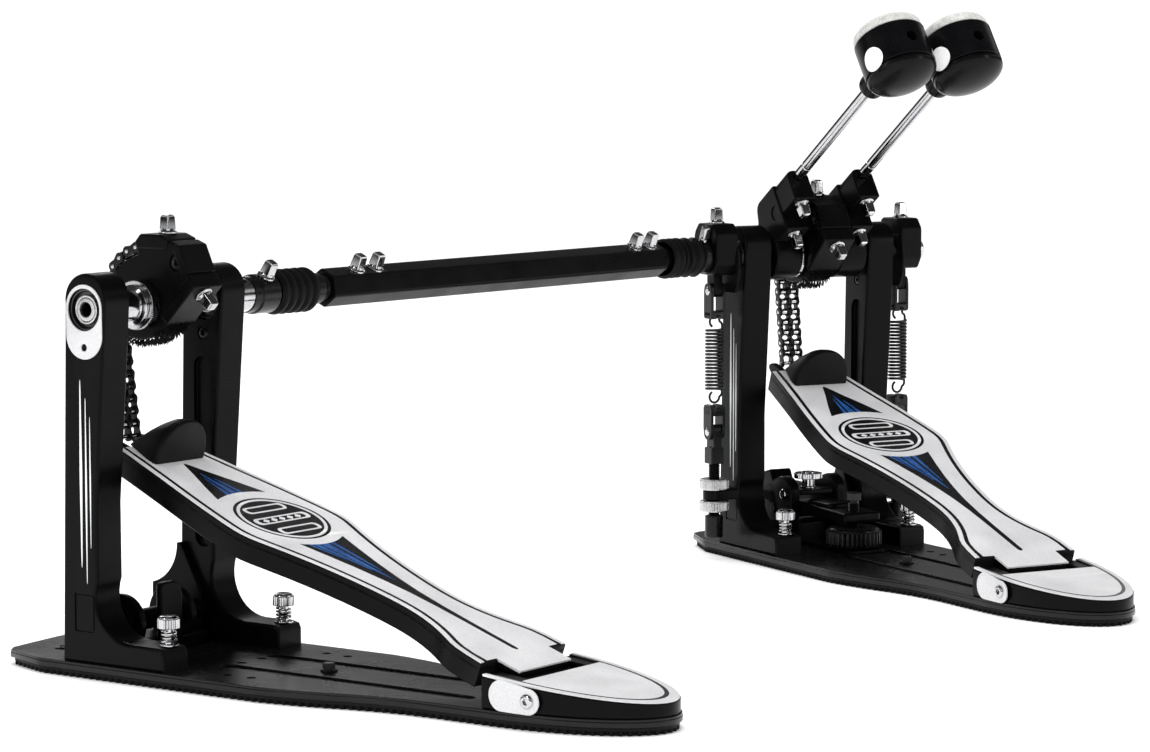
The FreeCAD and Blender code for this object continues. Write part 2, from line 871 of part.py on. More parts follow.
def make_rocker(side, bore):
    name = "right" if side > 0 else "left"
    height = size.axle_height
    y = size.spring_y
    start = size.rocker_x - size.rocker_half if side > 0 else -size.rocker_x - size.rocker_half
    outline = [
        (-9.0, height - 11),
        (-13.0, height - 4),
        (-13.0, height + 14),
        (-8.5, height + 20),
        (9.0, height + 20),
        (14.0, height + 14),
        (14.0, height + 2),
        (9.0, height - 11),
    ]
    block = plate("YZ_Plane", start, size.rocker_half * 2, outline)
    pin_z = height - size.rocker_pin_drop
    lobe_start = start if side > 0 else start + size.rocker_half * 2 - size.lobe_thickness
    lobe = plate("YZ_Plane", lobe_start, size.lobe_thickness, [
        (-11.0, pin_z - 2),
        arc((-15.5, height - 6), (-11.5, height + 10)),
        (6.0, height + 10),
        (8.0, pin_z - 2),
    ])
    middle = side * size.rocker_x
    tail = box((middle - 3, middle + 3), (y - 4.5, y + 4.5), (pin_z, height - 9))
    eye = rod(4.5, (middle - 3, y, pin_z), 6.0, "X")
    pin_hole = rod(size.pivot_pin_radius + size.running_fit, (middle - 5, y, pin_z), 10.0, "X")
    axle_hole = rod(bore + size.press_fit, (middle - 10, 0, height), 20.0, "X")
    subpart(cut(fuse(block, lobe, tail, eye), pin_hole, axle_hole), f"{name}_rocker")


def make_drives(slave):
    height = size.axle_height
    make_main_axle()
    make_left_sleeve()
    make_slave_axle(slave)
    make_cam("main_cam", HERE)
    make_cam("slave_cam", slave)
    make_beater(1, size.axle_radius)
    make_beater(-1, size.sleeve_radius)
    make_rocker(1, size.axle_radius)
    make_rocker(-1, size.sleeve_radius)
    right_cap = key_bolt((size.rocker_x, 0, height + 20), (0, 0, 1))
    left_cap = key_bolt((-size.rocker_x, 0, height + 20), (0, 0, 1))
    left_collar = key_bolt((17.7 - size.main_joint, -2.92, height + 9.56), (0, -0.292, 0.956), 3.0)
    slave_collar = key_bolt((79.0, -5.25, height + 9.093), (0, -0.5, 0.866))
    subpart(group(beater_bolts(1), right_cap, *make_cam_bolts()), "main_drive_bolts")
    subpart(group(beater_bolts(-1), left_cap, left_collar), "left_drive_bolts")
    subpart(group(slave_collar, *make_cam_bolts()), "slave_drive_bolts", slave)


# ---------------------------------------------------------------- springs

def make_spring(side):
    name = "right" if side > 0 else "left"
    x = side * size.rocker_x
    y = size.spring_y
    wire = size.spring_wire / 2
    pin_z = size.axle_height - size.rocker_pin_drop
    thick = size.ear_thickness
    half = size.ear_inner + thick
    starts = (x - half, x + size.ear_inner)
    ears = [rod(4.8, (start, y, pin_z), thick, "X") for start in starts]
    arms = [box((start, start + thick), (y - 4.8, y + 4.8), (148.0, pin_z)) for start in starts]
    yoke_base = box((x - half, x + half), (y - 4.8, y + 4.8), (147.0, 152.0))
    pin = rod(size.pivot_pin_radius, (x - half, y, pin_z), half * 2, "X")
    slot = box((x - 1.6, x + 1.6), (y - 6, y + 6), (146.0, 150.0))
    subpart(cut(fuse(yoke_base, pin, *ears, *arms), slot), f"{name}_spring_link")
    low = size.spring_low
    high = size.spring_high
    coil = cut(rod(size.spring_radius, (x, y, low), high - low),
               rod(size.spring_radius - size.spring_wire, (x, y, low - 1), high - low + 2))
    top_loop = ring(3.4, wire, (x, y, high + 3.5), "X")
    low_loop = ring(3.4, wire, (x, y, low - 3.5), "X")
    caps = [rod(size.spring_radius, (x, y, z), size.spring_wire) for z in (low, high - size.spring_wire)]
    subpart(fuse(coil, top_loop, low_loop, *caps), f"{name}_spring")
    foot = size.spring_foot
    ears = [rod(5.0, (start, y, foot), thick, "X") for start in starts]
    arms = [box((start, start + thick), (y - 5, y + 5), (foot, 94.0)) for start in starts]
    bridge = box((x - half, x + half), (y - 5, y + 5), (88.0, 95.0))
    slot = box((x - 1.6, x + 1.6), (y - 6, y + 6), (92.0, 96.0))
    pin = rod(size.pivot_pin_radius, (x - half, y, foot), half * 2, "X")
    subpart(cut(fuse(bridge, pin, *ears, *arms), slot), f"{name}_spring_clevis")


def make_tension_rods():
    """The threaded rods that set the spring tension, each with two knurled nuts."""
    pieces = []
    y = size.spring_y
    for side in (-1, 1):
        x = side * size.rocker_x
        foot = size.spring_foot
        stem = rod(3.6, (x, y, 14.0), 46.0)
        end_cap = rod(5.5, (x, y, 14.0), 13.5)
        block = box((x - 4.5, x + 4.5), (y - 4.5, y + 4.5), (59.0, 69.0))
        lug = box((x - 3, x + 3), (y - 4.5, y + 4.5), (68.0, foot))
        eye = rod(4.5, (x - 3, y, foot), 6.0, "X")
        hole = rod(size.pivot_pin_radius + size.running_fit, (x - 5, y, foot), 10.0, "X")
        pieces.append(cut(fuse(stem, end_cap, block, lug, eye), hole))
        for z in (30.0, 43.3):
            pieces.append(cut(rod(size.nut_radius, (x, y, z), 6.5), rod(3.65, (x, y, z - 1), 9.0)))
    subpart(group(*pieces), "tension_rods")


# ---------------------------------------------------------------- hoop clamp

def make_clamp():
    """A bridge between the posts, the jaw that presses on the hoop, and its wheel."""
    base = size.base_top
    inner = size.post_inner
    bar = box((-inner, inner), (-4.0, 14.0), (base, 20.0))
    tail = box((-12.0, 12.0), (-68.0, -4.0), (base, 10.0))
    cheek = [(-12.0, base), (-12.0, 44.0), (-2.0, 50.0), (30.0, 38.0), (34.0, base)]
    cheeks = [plate("YZ_Plane", x, 7.0, cheek) for x in (-20.0, 13.0)]
    pin = rod(3.0, (-19.0, 8.0, 28.0), 38.0, "X")
    screw_hole = rod(3.55, (0, -52.0, 7.0), 5.0)
    subpart(cut(fuse(bar, tail, pin, *cheeks, *gussets()), screw_hole), "main_bridge")
    side_view = [
        (-62.0, 26.0),
        (-62.0, 32.0),
        (-4.0, 34.0),
        (30.0, 42.0),
        (60.0, 34.0),
        (62.0, 23.0),
        (54.0, 23.0),
        (50.0, 30.0),
        (30.0, 33.0),
        (14.0, 22.5),
        (0.0, 22.5),
        (-8.0, 26.0),
    ]
    jaw = plate("YZ_Plane", -12.5, 25.0, side_view, circle(8.0, 28.0, 3.05))
    screw_slot = rod(4.6, (0, -52.0, 20.0), 20.0)
    subpart(cut(jaw, screw_slot), "clamp_jaw")
    wheel = rod(17.0, (0, -52.0, 10.4), 12.0)
    screw = rod(3.5, (0, -52.0, 8.2), 36.0)
    cap = rod(5.0, (0, -52.0, 38.5), 5.0)
    subpart(fuse(wheel, screw, cap), "clamp_wheel")


# ---------------------------------------------------------------- drive shaft

def boot_outline(start, end, ribs):
    """A bellows wall in section: ribs along the outside, a smooth bore."""
    outer = number(size.boot_radius)
    step = (end - start) / ribs
    path = [(start, size.boot_bore), (start, outer - 1.2)]
    for k in range(ribs):
        left = start + k * step
        path.append((left + step * 0.35, size.boot_radius))
        path.append((left + step * 0.65, size.boot_radius))
        path.append((left + step, outer - 1.2))
    path.append((end, size.boot_bore))
    return path


def make_drive_shaft(slave):
    """The telescopic shaft between the two universal joints, and its rubber boots."""
    start = slave.multVec(vector(size.slave_joint, 0, size.axle_height))
    end = vector(-size.main_joint, 0, size.axle_height)
    along = end - start
    length = along.Length
    place = FreeCAD.Placement(start, FreeCAD.Rotation(AXES["X"], along))
    flats = size.tube_flats / 2
    corner = size.tube_flats * 0.57735
    roll = math.radians(TUBE_ROLL)
    hexagon = []
    for k in range(6):
        angle = roll + k * math.pi / 3
        hexagon.append((corner * math.cos(angle), corner * math.sin(angle)))
    tube_end = length - 20.0
    tube = plate("YZ_Plane", 27.0, tube_end - 27.0, hexagon, circle(0, 0, size.rod_radius + 0.08))
    plug = rod(8.0, (tube_end - 20, 0, 0), 24.0, "X")
    far_yoke = yoke(tube_end + 2, length, "Y")
    subpart(fuse(tube, plug, *far_yoke, *cross(length)), "drive_shaft_tube", place)
    inner = rod(size.rod_radius, (8.0, 0, 0), 212.0, "X")
    stop = rod(7.5, (16.0, 0, 0), 8.0, "X")
    subpart(fuse(inner, stop, *yoke(22.0, 0.0, "Y"), *cross(0)), "drive_shaft_rod", place)
    half = number(size.boot_half)
    subpart(turned(boot_outline(-half, half, 5)), "slave_boot", place)
    up = (0, -math.sin(roll), math.cos(roll))
    bolts = [key_bolt((x, flats * up[1], flats * up[2]), up) for x in (50.0, 65.0, length - 46.0, length - 32.0)]
    subpart(group(*bolts), "shaft_bolts", place)
    middle = FreeCAD.Placement(end, FreeCAD.Rotation())
    right_half = turned(boot_outline(-2.3, half, 3))
    left_half = turned(boot_outline(-half, 2.3, 3))
    bend = FreeCAD.Rotation(AXES["X"], along)
    carry(left_half, FreeCAD.Placement(FreeCAD.Vector(), bend))
    bore = size.boot_bore
    reach = size.boot_half + 5
    right_bore = rod(bore, (0, 0, 0), reach, "X")
    left_bore = rod(bore, (0, 0, 0), reach, bend.multVec(FreeCAD.Vector(-1, 0, 0)))
    boot = cut(fuse(right_half, left_half), ball(bore, (0, 0, 0)), right_bore, left_bore)
    subpart(boot, "main_boot", middle)


# ---------------------------------------------------------------- the whole pedal

def make_pedal(prefix, place, brackets, bores):
    make_base(prefix, place)
    for side in (-1, 1):
        make_post(prefix, side, place, brackets)
    make_bearings(prefix, place, bores)
    make_heel(prefix, place)
    make_spurs(prefix, place)
    make_footboard(prefix, place)
    make_chain(prefix, place)


slave_place = FreeCAD.Placement(vector(size.slave_x, size.slave_y, 0),
                                FreeCAD.Rotation(UP, number(size.slave_turn)))
make_pedal("main", HERE, True, (size.sleeve_radius, size.axle_radius))
make_pedal("slave", slave_place, False, (size.axle_radius, size.axle_radius))
make_slave_bridge(slave_place)
make_drives(slave_place)
for hand in (-1, 1):
    make_spring(hand)
make_tension_rods()
make_clamp()
make_drive_shaft(slave_place)

doc.recompute()

for obj in doc.Objects:
    if "Invalid" in obj.State or "Error" in obj.State:
        raise RuntimeError(f"{obj.Label} failed: {obj.State}")
for obj in subparts:
    if obj.Shape.isNull() or not obj.Shape.isValid():
        raise RuntimeError(f"{obj.Label} has no valid shape")

os.makedirs("parts", exist_ok=True)
for obj in subparts:
    obj.Shape.exportStep(f"parts/{obj.Label}.step")
print(len(subparts), "sub-parts written")
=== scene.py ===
import json
import math

import bmesh
import bpy
from mathutils import Matrix, Vector


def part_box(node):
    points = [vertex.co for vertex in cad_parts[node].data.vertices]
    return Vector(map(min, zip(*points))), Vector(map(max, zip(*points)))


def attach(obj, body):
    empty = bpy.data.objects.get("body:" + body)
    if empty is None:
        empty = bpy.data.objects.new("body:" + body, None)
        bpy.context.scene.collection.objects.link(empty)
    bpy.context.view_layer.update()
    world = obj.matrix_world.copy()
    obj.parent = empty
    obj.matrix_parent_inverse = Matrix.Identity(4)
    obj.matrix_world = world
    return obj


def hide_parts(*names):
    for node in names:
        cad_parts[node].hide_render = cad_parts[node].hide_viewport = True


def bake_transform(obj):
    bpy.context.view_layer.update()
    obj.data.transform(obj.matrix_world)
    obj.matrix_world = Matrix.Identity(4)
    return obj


# A double bass drum pedal in satin black, brushed silver and chrome, built on the packed
# frame. Shapes are in millimetres in the frame of the pedal that they belong to.

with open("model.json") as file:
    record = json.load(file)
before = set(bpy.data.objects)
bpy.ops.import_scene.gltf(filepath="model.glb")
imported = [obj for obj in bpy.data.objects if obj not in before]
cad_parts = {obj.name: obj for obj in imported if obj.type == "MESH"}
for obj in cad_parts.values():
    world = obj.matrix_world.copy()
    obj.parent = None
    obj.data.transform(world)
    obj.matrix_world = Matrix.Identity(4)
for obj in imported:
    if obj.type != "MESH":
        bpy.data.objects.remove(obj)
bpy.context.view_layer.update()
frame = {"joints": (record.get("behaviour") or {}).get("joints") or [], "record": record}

MM = 0.001
SIDE_NAME = {1: "right", -1: "left"}

# posts, base and heel; the heel's top drops towards its round tip
AXLE = 1000 * (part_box("main_axle")[0].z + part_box("main_axle")[1].z) / 2
POST_OUT = 53.5
POST_IN = 34.5
PLATE_TOP = 8.0
HEEL_FRONT = -233.0
HEEL_START = -240.0
HEEL_ROUND = 77.0
HEEL_TOP = 24.5
HEEL_DROP = 9.8
HINGE = (0, -241.0, 15.0)
POST_SCREW_Z = 167.5
SPUR = (44.0, -45.0, 20.0)

# footboard, drawn from its heel end
BOARD_END = (0, -230.5, 28.9)
BOARD_TILT = 19.5
BOARD_LENGTH = 252.0
BOARD_TOE = 22.5
EMBLEM_MIDDLE = 158.0
EMBLEM = [(26.5 * math.cos(math.radians(6 * k)), EMBLEM_MIDDLE + 24.0 * math.sin(math.radians(6 * k)))
          for k in range(60)]

# chain and cam; the cam's bolt is a place along Y and Z from the axle
CHAIN_PITCH = 6.35
CHAIN_RADIUS = 29.5
CAM_BOLT = (-22.5, 21.9)

# beaters, drawn upright over the axle and then tilted
BEATER_X = 23.0
BEATER_TILT = 55.5
ROD_Y = 26.5
HEAD_Z = 174.5
HEAD_RADIUS = 21.1
DISC_RADIUS = 7.1

# springs, which hang from the rockers
ROCKER_X = 66.0
SPRING_Y = 2.0
LINK_PIN = AXLE - 21.0
FORK_PIN = 78.5
COIL_LOW = 103.8
COIL_HIGH = 141.2
RIVET = [(0, -5.6), (1.6, -5.6), (2.6, -5.1), (1.9, -4.7), (1.9, 4.7), (2.6, 5.1), (1.6, 5.6), (0, 5.6)]
THREAD_PITCH = 1.2

# hoop clamp and drive shaft, whose joints lie on the axles' lines
WHEEL_Y = -52.0
SLAVE_JOINT_X = 103.0
MAIN_JOINT_X = -94.3
SHAFT_FLATS = 18.5
TUBE_ROLL = 24.0
BOOT_HALF = 14.5


# ---------------------------------------------------------------- places

def at(x=0.0, y=0.0, z=0.0):
    return Matrix.Translation((x, y, z))


def turn(degrees, axis):
    return Matrix.Rotation(math.radians(degrees), 4, axis)


def wall(side, x):
    """A place on a side wall, drawn along +-Y and Z, thick outwards."""
    return at(side * x, 0, 0) @ turn(90 * side, "Z") @ turn(90, "X")


def aim(point, direction):
    """A place at a point whose Z runs along a direction."""
    return at(*point) @ Vector(direction).to_track_quat("Z", "Y").to_matrix().to_4x4()


HERE = Matrix()
SIDE = turn(90, "Z") @ turn(90, "X")
ALONG_X = turn(90, "Y")
ALONG_Y = turn(-90, "X")

slave_mount = [m for m in frame["record"]["mounts"] if m["name"] == "slave_rest"][0]
hinge_axis = [j for j in frame["joints"] if j["name"] == "slave_treadle_hinge"][0]["axis"]
slave_turn = math.degrees(math.atan2(-hinge_axis[1], -hinge_axis[0]))
MAIN = HERE
SLAVE = at(*[1000 * v for v in slave_mount["pos_m"]]) @ turn(slave_turn, "Z")
BOARD = at(*BOARD_END) @ turn(BOARD_TILT, "X")
SHAFT_START = SLAVE @ Vector((SLAVE_JOINT_X, 0, AXLE))
SHAFT_END = Vector((MAIN_JOINT_X, 0, AXLE))
SHAFT_LENGTH = (SHAFT_END - SHAFT_START).length
shaft_heading = math.degrees(math.atan2(SHAFT_END.y - SHAFT_START.y, SHAFT_END.x - SHAFT_START.x))
SHAFT = Matrix.Translation(SHAFT_START) @ turn(shaft_heading, "Z")


def swing(side):
    """The frame of a beater: its rod along Z, its striking face along Y."""
    return at(side * BEATER_X, 0, AXLE) @ turn(BEATER_TILT, "X")


# ---------------------------------------------------------------- outlines

def bow(a, middle, b, steps=10):
    """Points of the arc from a to b through a middle point, without a."""
    ax, ay = a
    bx, by = middle[0] - ax, middle[1] - ay
    cx, cy = b[0] - ax, b[1] - ay
    d = 2 * (bx * cy - by * cx)
    ux = (cy * (bx * bx + by * by) - by * (cx * cx + cy * cy)) / d
    uy = (bx * (cx * cx + cy * cy) - cx * (bx * bx + by * by)) / d
    centre = (ax + ux, ay + uy)
    radius = math.hypot(ux, uy)
    start = math.atan2(ay - centre[1], ax - centre[0])
    stop = math.atan2(b[1] - centre[1], b[0] - centre[0])
    if d > 0:
        sweep_angle = (stop - start) % (2 * math.pi)
    else:
        sweep_angle = -((start - stop) % (2 * math.pi))
    angles = [start + sweep_angle * k / steps for k in range(1, steps + 1)]
    return [(centre[0] + radius * math.cos(t), centre[1] + radius * math.sin(t)) for t in angles]


def circle(x, y, radius, steps=40):
    """A circle, or a regular shape with few steps."""
    angles = [2 * math.pi * k / steps for k in range(steps)]
    return [(x + radius * math.cos(t), y + radius * math.sin(t)) for t in angles]


def capsule(x, low, high, radius, steps=16):
    """An upright slot shape between two centres."""
    angles = [math.pi * k / steps for k in range(steps + 1)]
    top = [(x + radius * math.cos(t), high + radius * math.sin(t)) for t in angles]
    bottom = [(x - radius * math.cos(t), low - radius * math.sin(t)) for t in angles]
    return top + bottom


def u_strip(outer, inner):
    """A strip between two right-hand edges that runs round the tip to the left-hand side."""
    back = [(-x, y) for x, y in inner] + list(reversed(inner))
    return mirrored(outer) + back


def soften(points, radius, steps=4):
    """A closed outline with its corners rounded; a point may carry its own radius."""
    out = []
    count = len(points)
    for k in range(count):
        p = Vector(points[k][:2])
        size = points[k][2] if len(points[k]) > 2 else radius
        before = Vector(points[k - 1][:2]) - p
        after = Vector(points[(k + 1) % count][:2]) - p
        a = p + before.normalized() * min(size, before.length * 0.48)
        b = p + after.normalized() * min(size, after.length * 0.48)
        for i in range(steps + 1):
            t = i / steps
            out.append(tuple(a * (1 - t) ** 2 + p * 2 * t * (1 - t) + b * t ** 2))
    return out


def mirrored(path):
    """A right-hand outline closed with its mirror image."""
    return list(path) + [(-x, y) for x, y in reversed(path)]


def offset(path, distance, closed=False):
    """The path moved sideways, to the right of its direction."""
    out = []
    count = len(path)
    for k in range(count):
        p = Vector(path[k])
        before = Vector(path[k - 1]) if closed or k else None
        after = Vector(path[(k + 1) % count]) if closed or k < count - 1 else None
        one = (p - before).normalized() if before is not None else (after - p).normalized()
        two = (after - p).normalized() if after is not None else one
        normal = Vector((one.y + two.y, -one.x - two.x)).normalized()
        stretch = 1 / max(0.5, normal.dot(Vector((one.y, -one.x))))
        out.append(tuple(p + normal * distance * stretch))
    return out


def gear(radius, depth, teeth):
    """A knurled rim seen along its axis."""
    out = []
    for k in range(teeth):
        for share, r in ((0.0, radius - depth), (0.3, radius), (0.6, radius)):
            t = 2 * math.pi * (k + share) / teeth
            out.append((r * math.cos(t), r * math.sin(t)))
    return out


# ---------------------------------------------------------------- shapes

def plate(loops, low, high, edge=0.4, steps=2):
    """A flat shape between two heights with a rounded rim; later loops are holes."""
    if isinstance(loops[0][0], (int, float)):
        loops = [loops]
    curve = bpy.data.curves.new("outline", "CURVE")
    curve.dimensions = "2D"
    curve.fill_mode = "BOTH"
    curve.extrude = (high - low) / 2 - edge
    curve.bevel_depth = edge
    curve.bevel_resolution = steps
    curve.offset = -edge
    for loop in loops:
        spline = curve.splines.new("POLY")
        spline.points.add(len(loop) - 1)
        for point, (x, y) in zip(spline.points, loop):
            point.co = (x, y, 0, 1)
        spline.use_cyclic_u = True
    holder = bpy.data.objects.new("outline", curve)
    mesh = bpy.data.meshes.new_from_object(holder)
    shape = bmesh.new()
    shape.from_mesh(mesh)
    bpy.data.objects.remove(holder)
    bpy.data.curves.remove(curve)
    bpy.data.meshes.remove(mesh)
    bmesh.ops.remove_doubles(shape, verts=shape.verts, dist=1e-4)
    shape.transform(at(z=(low + high) / 2))
    return shape


def side_plate(loops, low, high, edge=0.4, steps=2):
    """A plate drawn along Y and Z, thick along X."""
    return placed(plate(loops, low, high, edge, steps), SIDE)


def block(x, y, z, corner=1.0, edge=0.5):
    """A box between limits, with rounded corners seen from above and rounded rims."""
    corners = [(x[0], y[0]), (x[1], y[0]), (x[1], y[1]), (x[0], y[1])]
    return plate(soften(corners, corner), z[0], z[1], edge)


def loft(rings, closed=False, capped=True):
    """Skin equal rings of points one after another."""
    shape = bmesh.new()
    rows = [[shape.verts.new(p) for p in ring] for ring in rings]
    pairs = list(zip(rows, rows[1:])) + ([(rows[-1], rows[0])] if closed else [])
    for one, two in pairs:
        for k in range(len(one)):
            n = (k + 1) % len(one)
            shape.faces.new((one[k], one[n], two[n], two[k]))
    if capped and not closed:
        shape.faces.new(rows[0][::-1])
        shape.faces.new(rows[-1])
    bmesh.ops.remove_doubles(shape, verts=shape.verts, dist=1e-4)
    bmesh.ops.recalc_face_normals(shape, faces=shape.faces)
    return shape


def lathe(profile, sides=48):
    """Turn (radius, height) points about Z; off the axis, the profile closes on itself."""
    solid = profile[0][0] < 1e-6 and profile[-1][0] < 1e-6
    rings = []
    for r, z in profile:
        angles = [2 * math.pi * k / sides for k in range(sides)]
        rings.append([(max(r, 1e-6) * math.cos(t), max(r, 1e-6) * math.sin(t), z) for t in angles])
    return loft(rings, closed=not solid, capped=False)


def turned(profile, radius=0.5, sides=48, steps=3):
    """A lathe shape whose corners are rounded, except those on the axis."""
    ready = [(r, z, 0.001) if r < 1e-6 else (r, z) for r, z in profile]
    return lathe([p for p in soften(ready, radius, steps)], sides)


def peg(radius, low, high, edge=0.4, sides=40):
    """A solid round bar about Z with rounded rims."""
    section = [(0, low, 0.001), (radius, low), (radius, high), (0, high, 0.001)]
    return lathe([(0, low), *soften(section, edge, 3), (0, high)], sides)


def tube(outer, inner, low, high, edge=0.4, sides=48):
    """A ring about Z."""
    return turned([(inner, low), (outer, low), (outer, high), (inner, high)], edge, sides)


def sweep(points, radius, sides=10, closed=False):
    """A round wire along points."""
    points = [Vector(p) for p in points]
    count = len(points)
    rings = []
    across = None
    for k in range(count):
        before = points[k - 1] if closed or k else points[k]
        after = points[(k + 1) % count] if closed or k < count - 1 else points[k]
        ahead = (after - before).normalized()
        if across is None:
            across = ahead.orthogonal()
        across = (across - ahead * across.dot(ahead)).normalized()
        other = ahead.cross(across)
        angles = [2 * math.pi * i / sides for i in range(sides)]
        rings.append([points[k] + (across * math.cos(t) + other * math.sin(t)) * radius for t in angles])
    return loft(rings, closed)


def threaded(outer, core, low, high, turns, sides):
    """A screw about Z: ridges from its low end, then a plain end of radius 3."""
    profile = [(0, low)]
    for k in range(turns):
        z = low + THREAD_PITCH * k
        profile += [(outer, z + THREAD_PITCH / 2), (core, z + THREAD_PITCH)]
    return lathe([*profile, (3.0, high), (0, high)], sides)


def helix(radius, low, high, turns, steps=20):
    """Points of a coil about Z."""
    count = int(turns * steps)
    return [(radius * math.cos(2 * math.pi * k / steps), radius * math.sin(2 * math.pi * k / steps),
             low + (high - low) * k / count) for k in range(count + 1)]


def as_object(shape):
    """A scene object that holds a shape while it is cut."""
    mesh = bpy.data.meshes.new("cutting")
    shape.to_mesh(mesh)
    shape.free()
    obj = bpy.data.objects.new("cutting", mesh)
    bpy.context.scene.collection.objects.link(obj)
    return obj


def carve(shape, *cutters):
    """The shape with holes cut by other shapes."""
    base = as_object(shape)
    for cutter in cutters:
        tool = as_object(cutter)
        change = base.modifiers.new("cut", "BOOLEAN")
        change.operation = "DIFFERENCE"
        change.solver = "EXACT"
        change.object = tool
        graph = bpy.context.evaluated_depsgraph_get()
        mesh = bpy.data.meshes.new_from_object(base.evaluated_get(graph))
        base.modifiers.clear()
        base.data = mesh
        bpy.data.objects.remove(tool)
    out = bmesh.new()
    out.from_mesh(base.data)
    bpy.data.objects.remove(base)
    return out


def placed(shape, place):
    """The shape moved to a place."""
    shape.transform(place)
    return shape


class Piece:
    """One visible piece, gathered from shapes that share a body, a place and a material."""

    def __init__(self, name, body, place, finish):
        self.name = name
        self.body = body
        self.place = place
        self.finish = finish
        self.whole = bmesh.new()

    def add(self, shape, place=HERE):
        shape.transform(place)
        mesh = bpy.data.meshes.new("shape")
        shape.to_mesh(mesh)
        shape.free()
        self.whole.from_mesh(mesh)
        bpy.data.meshes.remove(mesh)
        return self

    def done(self, *nodes, sharp=38, stretch=None):
        """Make the object, smooth but for its corners, in place of nodes of the frame.

        stretch, if given, leaves the piece unparented with its place baked into its mesh; the upper body and
        the two ends that it holds are not used."""
        self.whole.transform(Matrix.Scale(MM, 4) @ self.place)
        bmesh.ops.recalc_face_normals(self.whole, faces=self.whole.faces)
        mesh = bpy.data.meshes.new(self.name)
        self.whole.to_mesh(mesh)
        self.whole.free()
        mesh.shade_smooth()
        mesh.set_sharp_from_angle(angle=math.radians(sharp))
        mesh.materials.append(FINISHES[self.finish])
        obj = bpy.data.objects.new(self.name, mesh)
        bpy.context.scene.collection.objects.link(obj)
        weighting = obj.modifiers.new("even_normals", "WEIGHTED_NORMAL")
        weighting.keep_sharp = True
        if stretch:
            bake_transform(obj)
        else:
            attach(obj, self.body)
        if nodes:
            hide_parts(*nodes)
        return obj


# ---------------------------------------------------------------- materials

def set_value(node, socket, value):
    node.inputs[socket].default_value = value


def material(name, dark, light, metallic, rough, grain, bump, mottle=60.0, coat=0.0, sheen=0.0,
             specular=0.5, edge_highlight=None):
    """A surface with two scales of noise in its colour, its roughness and its relief.

    grain is the size of the fine texture per metre, mottle that of the broad patches."""
    made = bpy.data.materials.new(name)
    made.use_nodes = True
    nodes = made.node_tree.nodes
    links = made.node_tree.links
    shader = nodes["Principled BSDF"]
    set_value(shader, "Metallic", metallic)
    set_value(shader, "Coat Weight", coat)
    set_value(shader, "Coat Roughness", 0.12)
    set_value(shader, "Sheen Weight", sheen)
    set_value(shader, "Specular IOR Level", specular)
    where = nodes.new("ShaderNodeTexCoord").outputs["Object"]
    noises = []
    for scale, detail in ((grain, 3.0), (mottle, 4.0)):
        noise = nodes.new("ShaderNodeTexNoise")
        set_value(noise, "Scale", scale)
        set_value(noise, "Detail", detail)
        links.new(where, noise.inputs["Vector"])
        noises.append(noise.outputs["Fac"])
    blend = nodes.new("ShaderNodeMix")
    set_value(blend, "Factor", 0.4)
    links.new(noises[0], blend.inputs["A"])
    links.new(noises[1], blend.inputs["B"])
    ramp = nodes.new("ShaderNodeValToRGB")
    ramp.color_ramp.elements[0].position = 0.36
    ramp.color_ramp.elements[0].color = (*dark, 1)
    ramp.color_ramp.elements[1].position = 0.64
    ramp.color_ramp.elements[1].color = (*light, 1)
    links.new(blend.outputs["Result"], ramp.inputs["Fac"])
    colour = ramp.outputs["Color"]
    # Painted edge highlight: where pointiness marks a sharp convex edge, the colour is mixed towards a paler
    # one that stands in for light catching the edge.
    if edge_highlight:
        geometry = nodes.new("ShaderNodeNewGeometry")
        edges = nodes.new("ShaderNodeMapRange")
        set_value(edges, "From Min", 0.54)
        set_value(edges, "From Max", 0.66)
        set_value(edges, "To Max", 0.8)
        links.new(geometry.outputs["Pointiness"], edges.inputs["Value"])
        lit_edges = nodes.new("ShaderNodeMix")
        lit_edges.data_type = "RGBA"
        for socket in lit_edges.inputs:
            if socket.name == "B" and socket.type == "RGBA":
                socket.default_value = (*edge_highlight, 1)
        links.new(edges.outputs["Result"], lit_edges.inputs["Factor"])
        links.new(colour, [s for s in lit_edges.inputs if s.name == "A" and s.type == "RGBA"][0])
        colour = [s for s in lit_edges.outputs if s.type == "RGBA"][0]
    links.new(colour, shader.inputs["Base Color"])
    gloss = nodes.new("ShaderNodeMapRange")
    set_value(gloss, "From Min", 0.3)
    set_value(gloss, "From Max", 0.7)
    set_value(gloss, "To Min", rough[0])
    set_value(gloss, "To Max", rough[1])
    links.new(noises[1], gloss.inputs["Value"])
    links.new(gloss.outputs["Result"], shader.inputs["Roughness"])
    relief = nodes.new("ShaderNodeBump")
    set_value(relief, "Strength", bump)
    set_value(relief, "Distance", 0.0002)
    links.new(noises[0], relief.inputs["Height"])
    links.new(relief.outputs["Normal"], shader.inputs["Normal"])
    return made
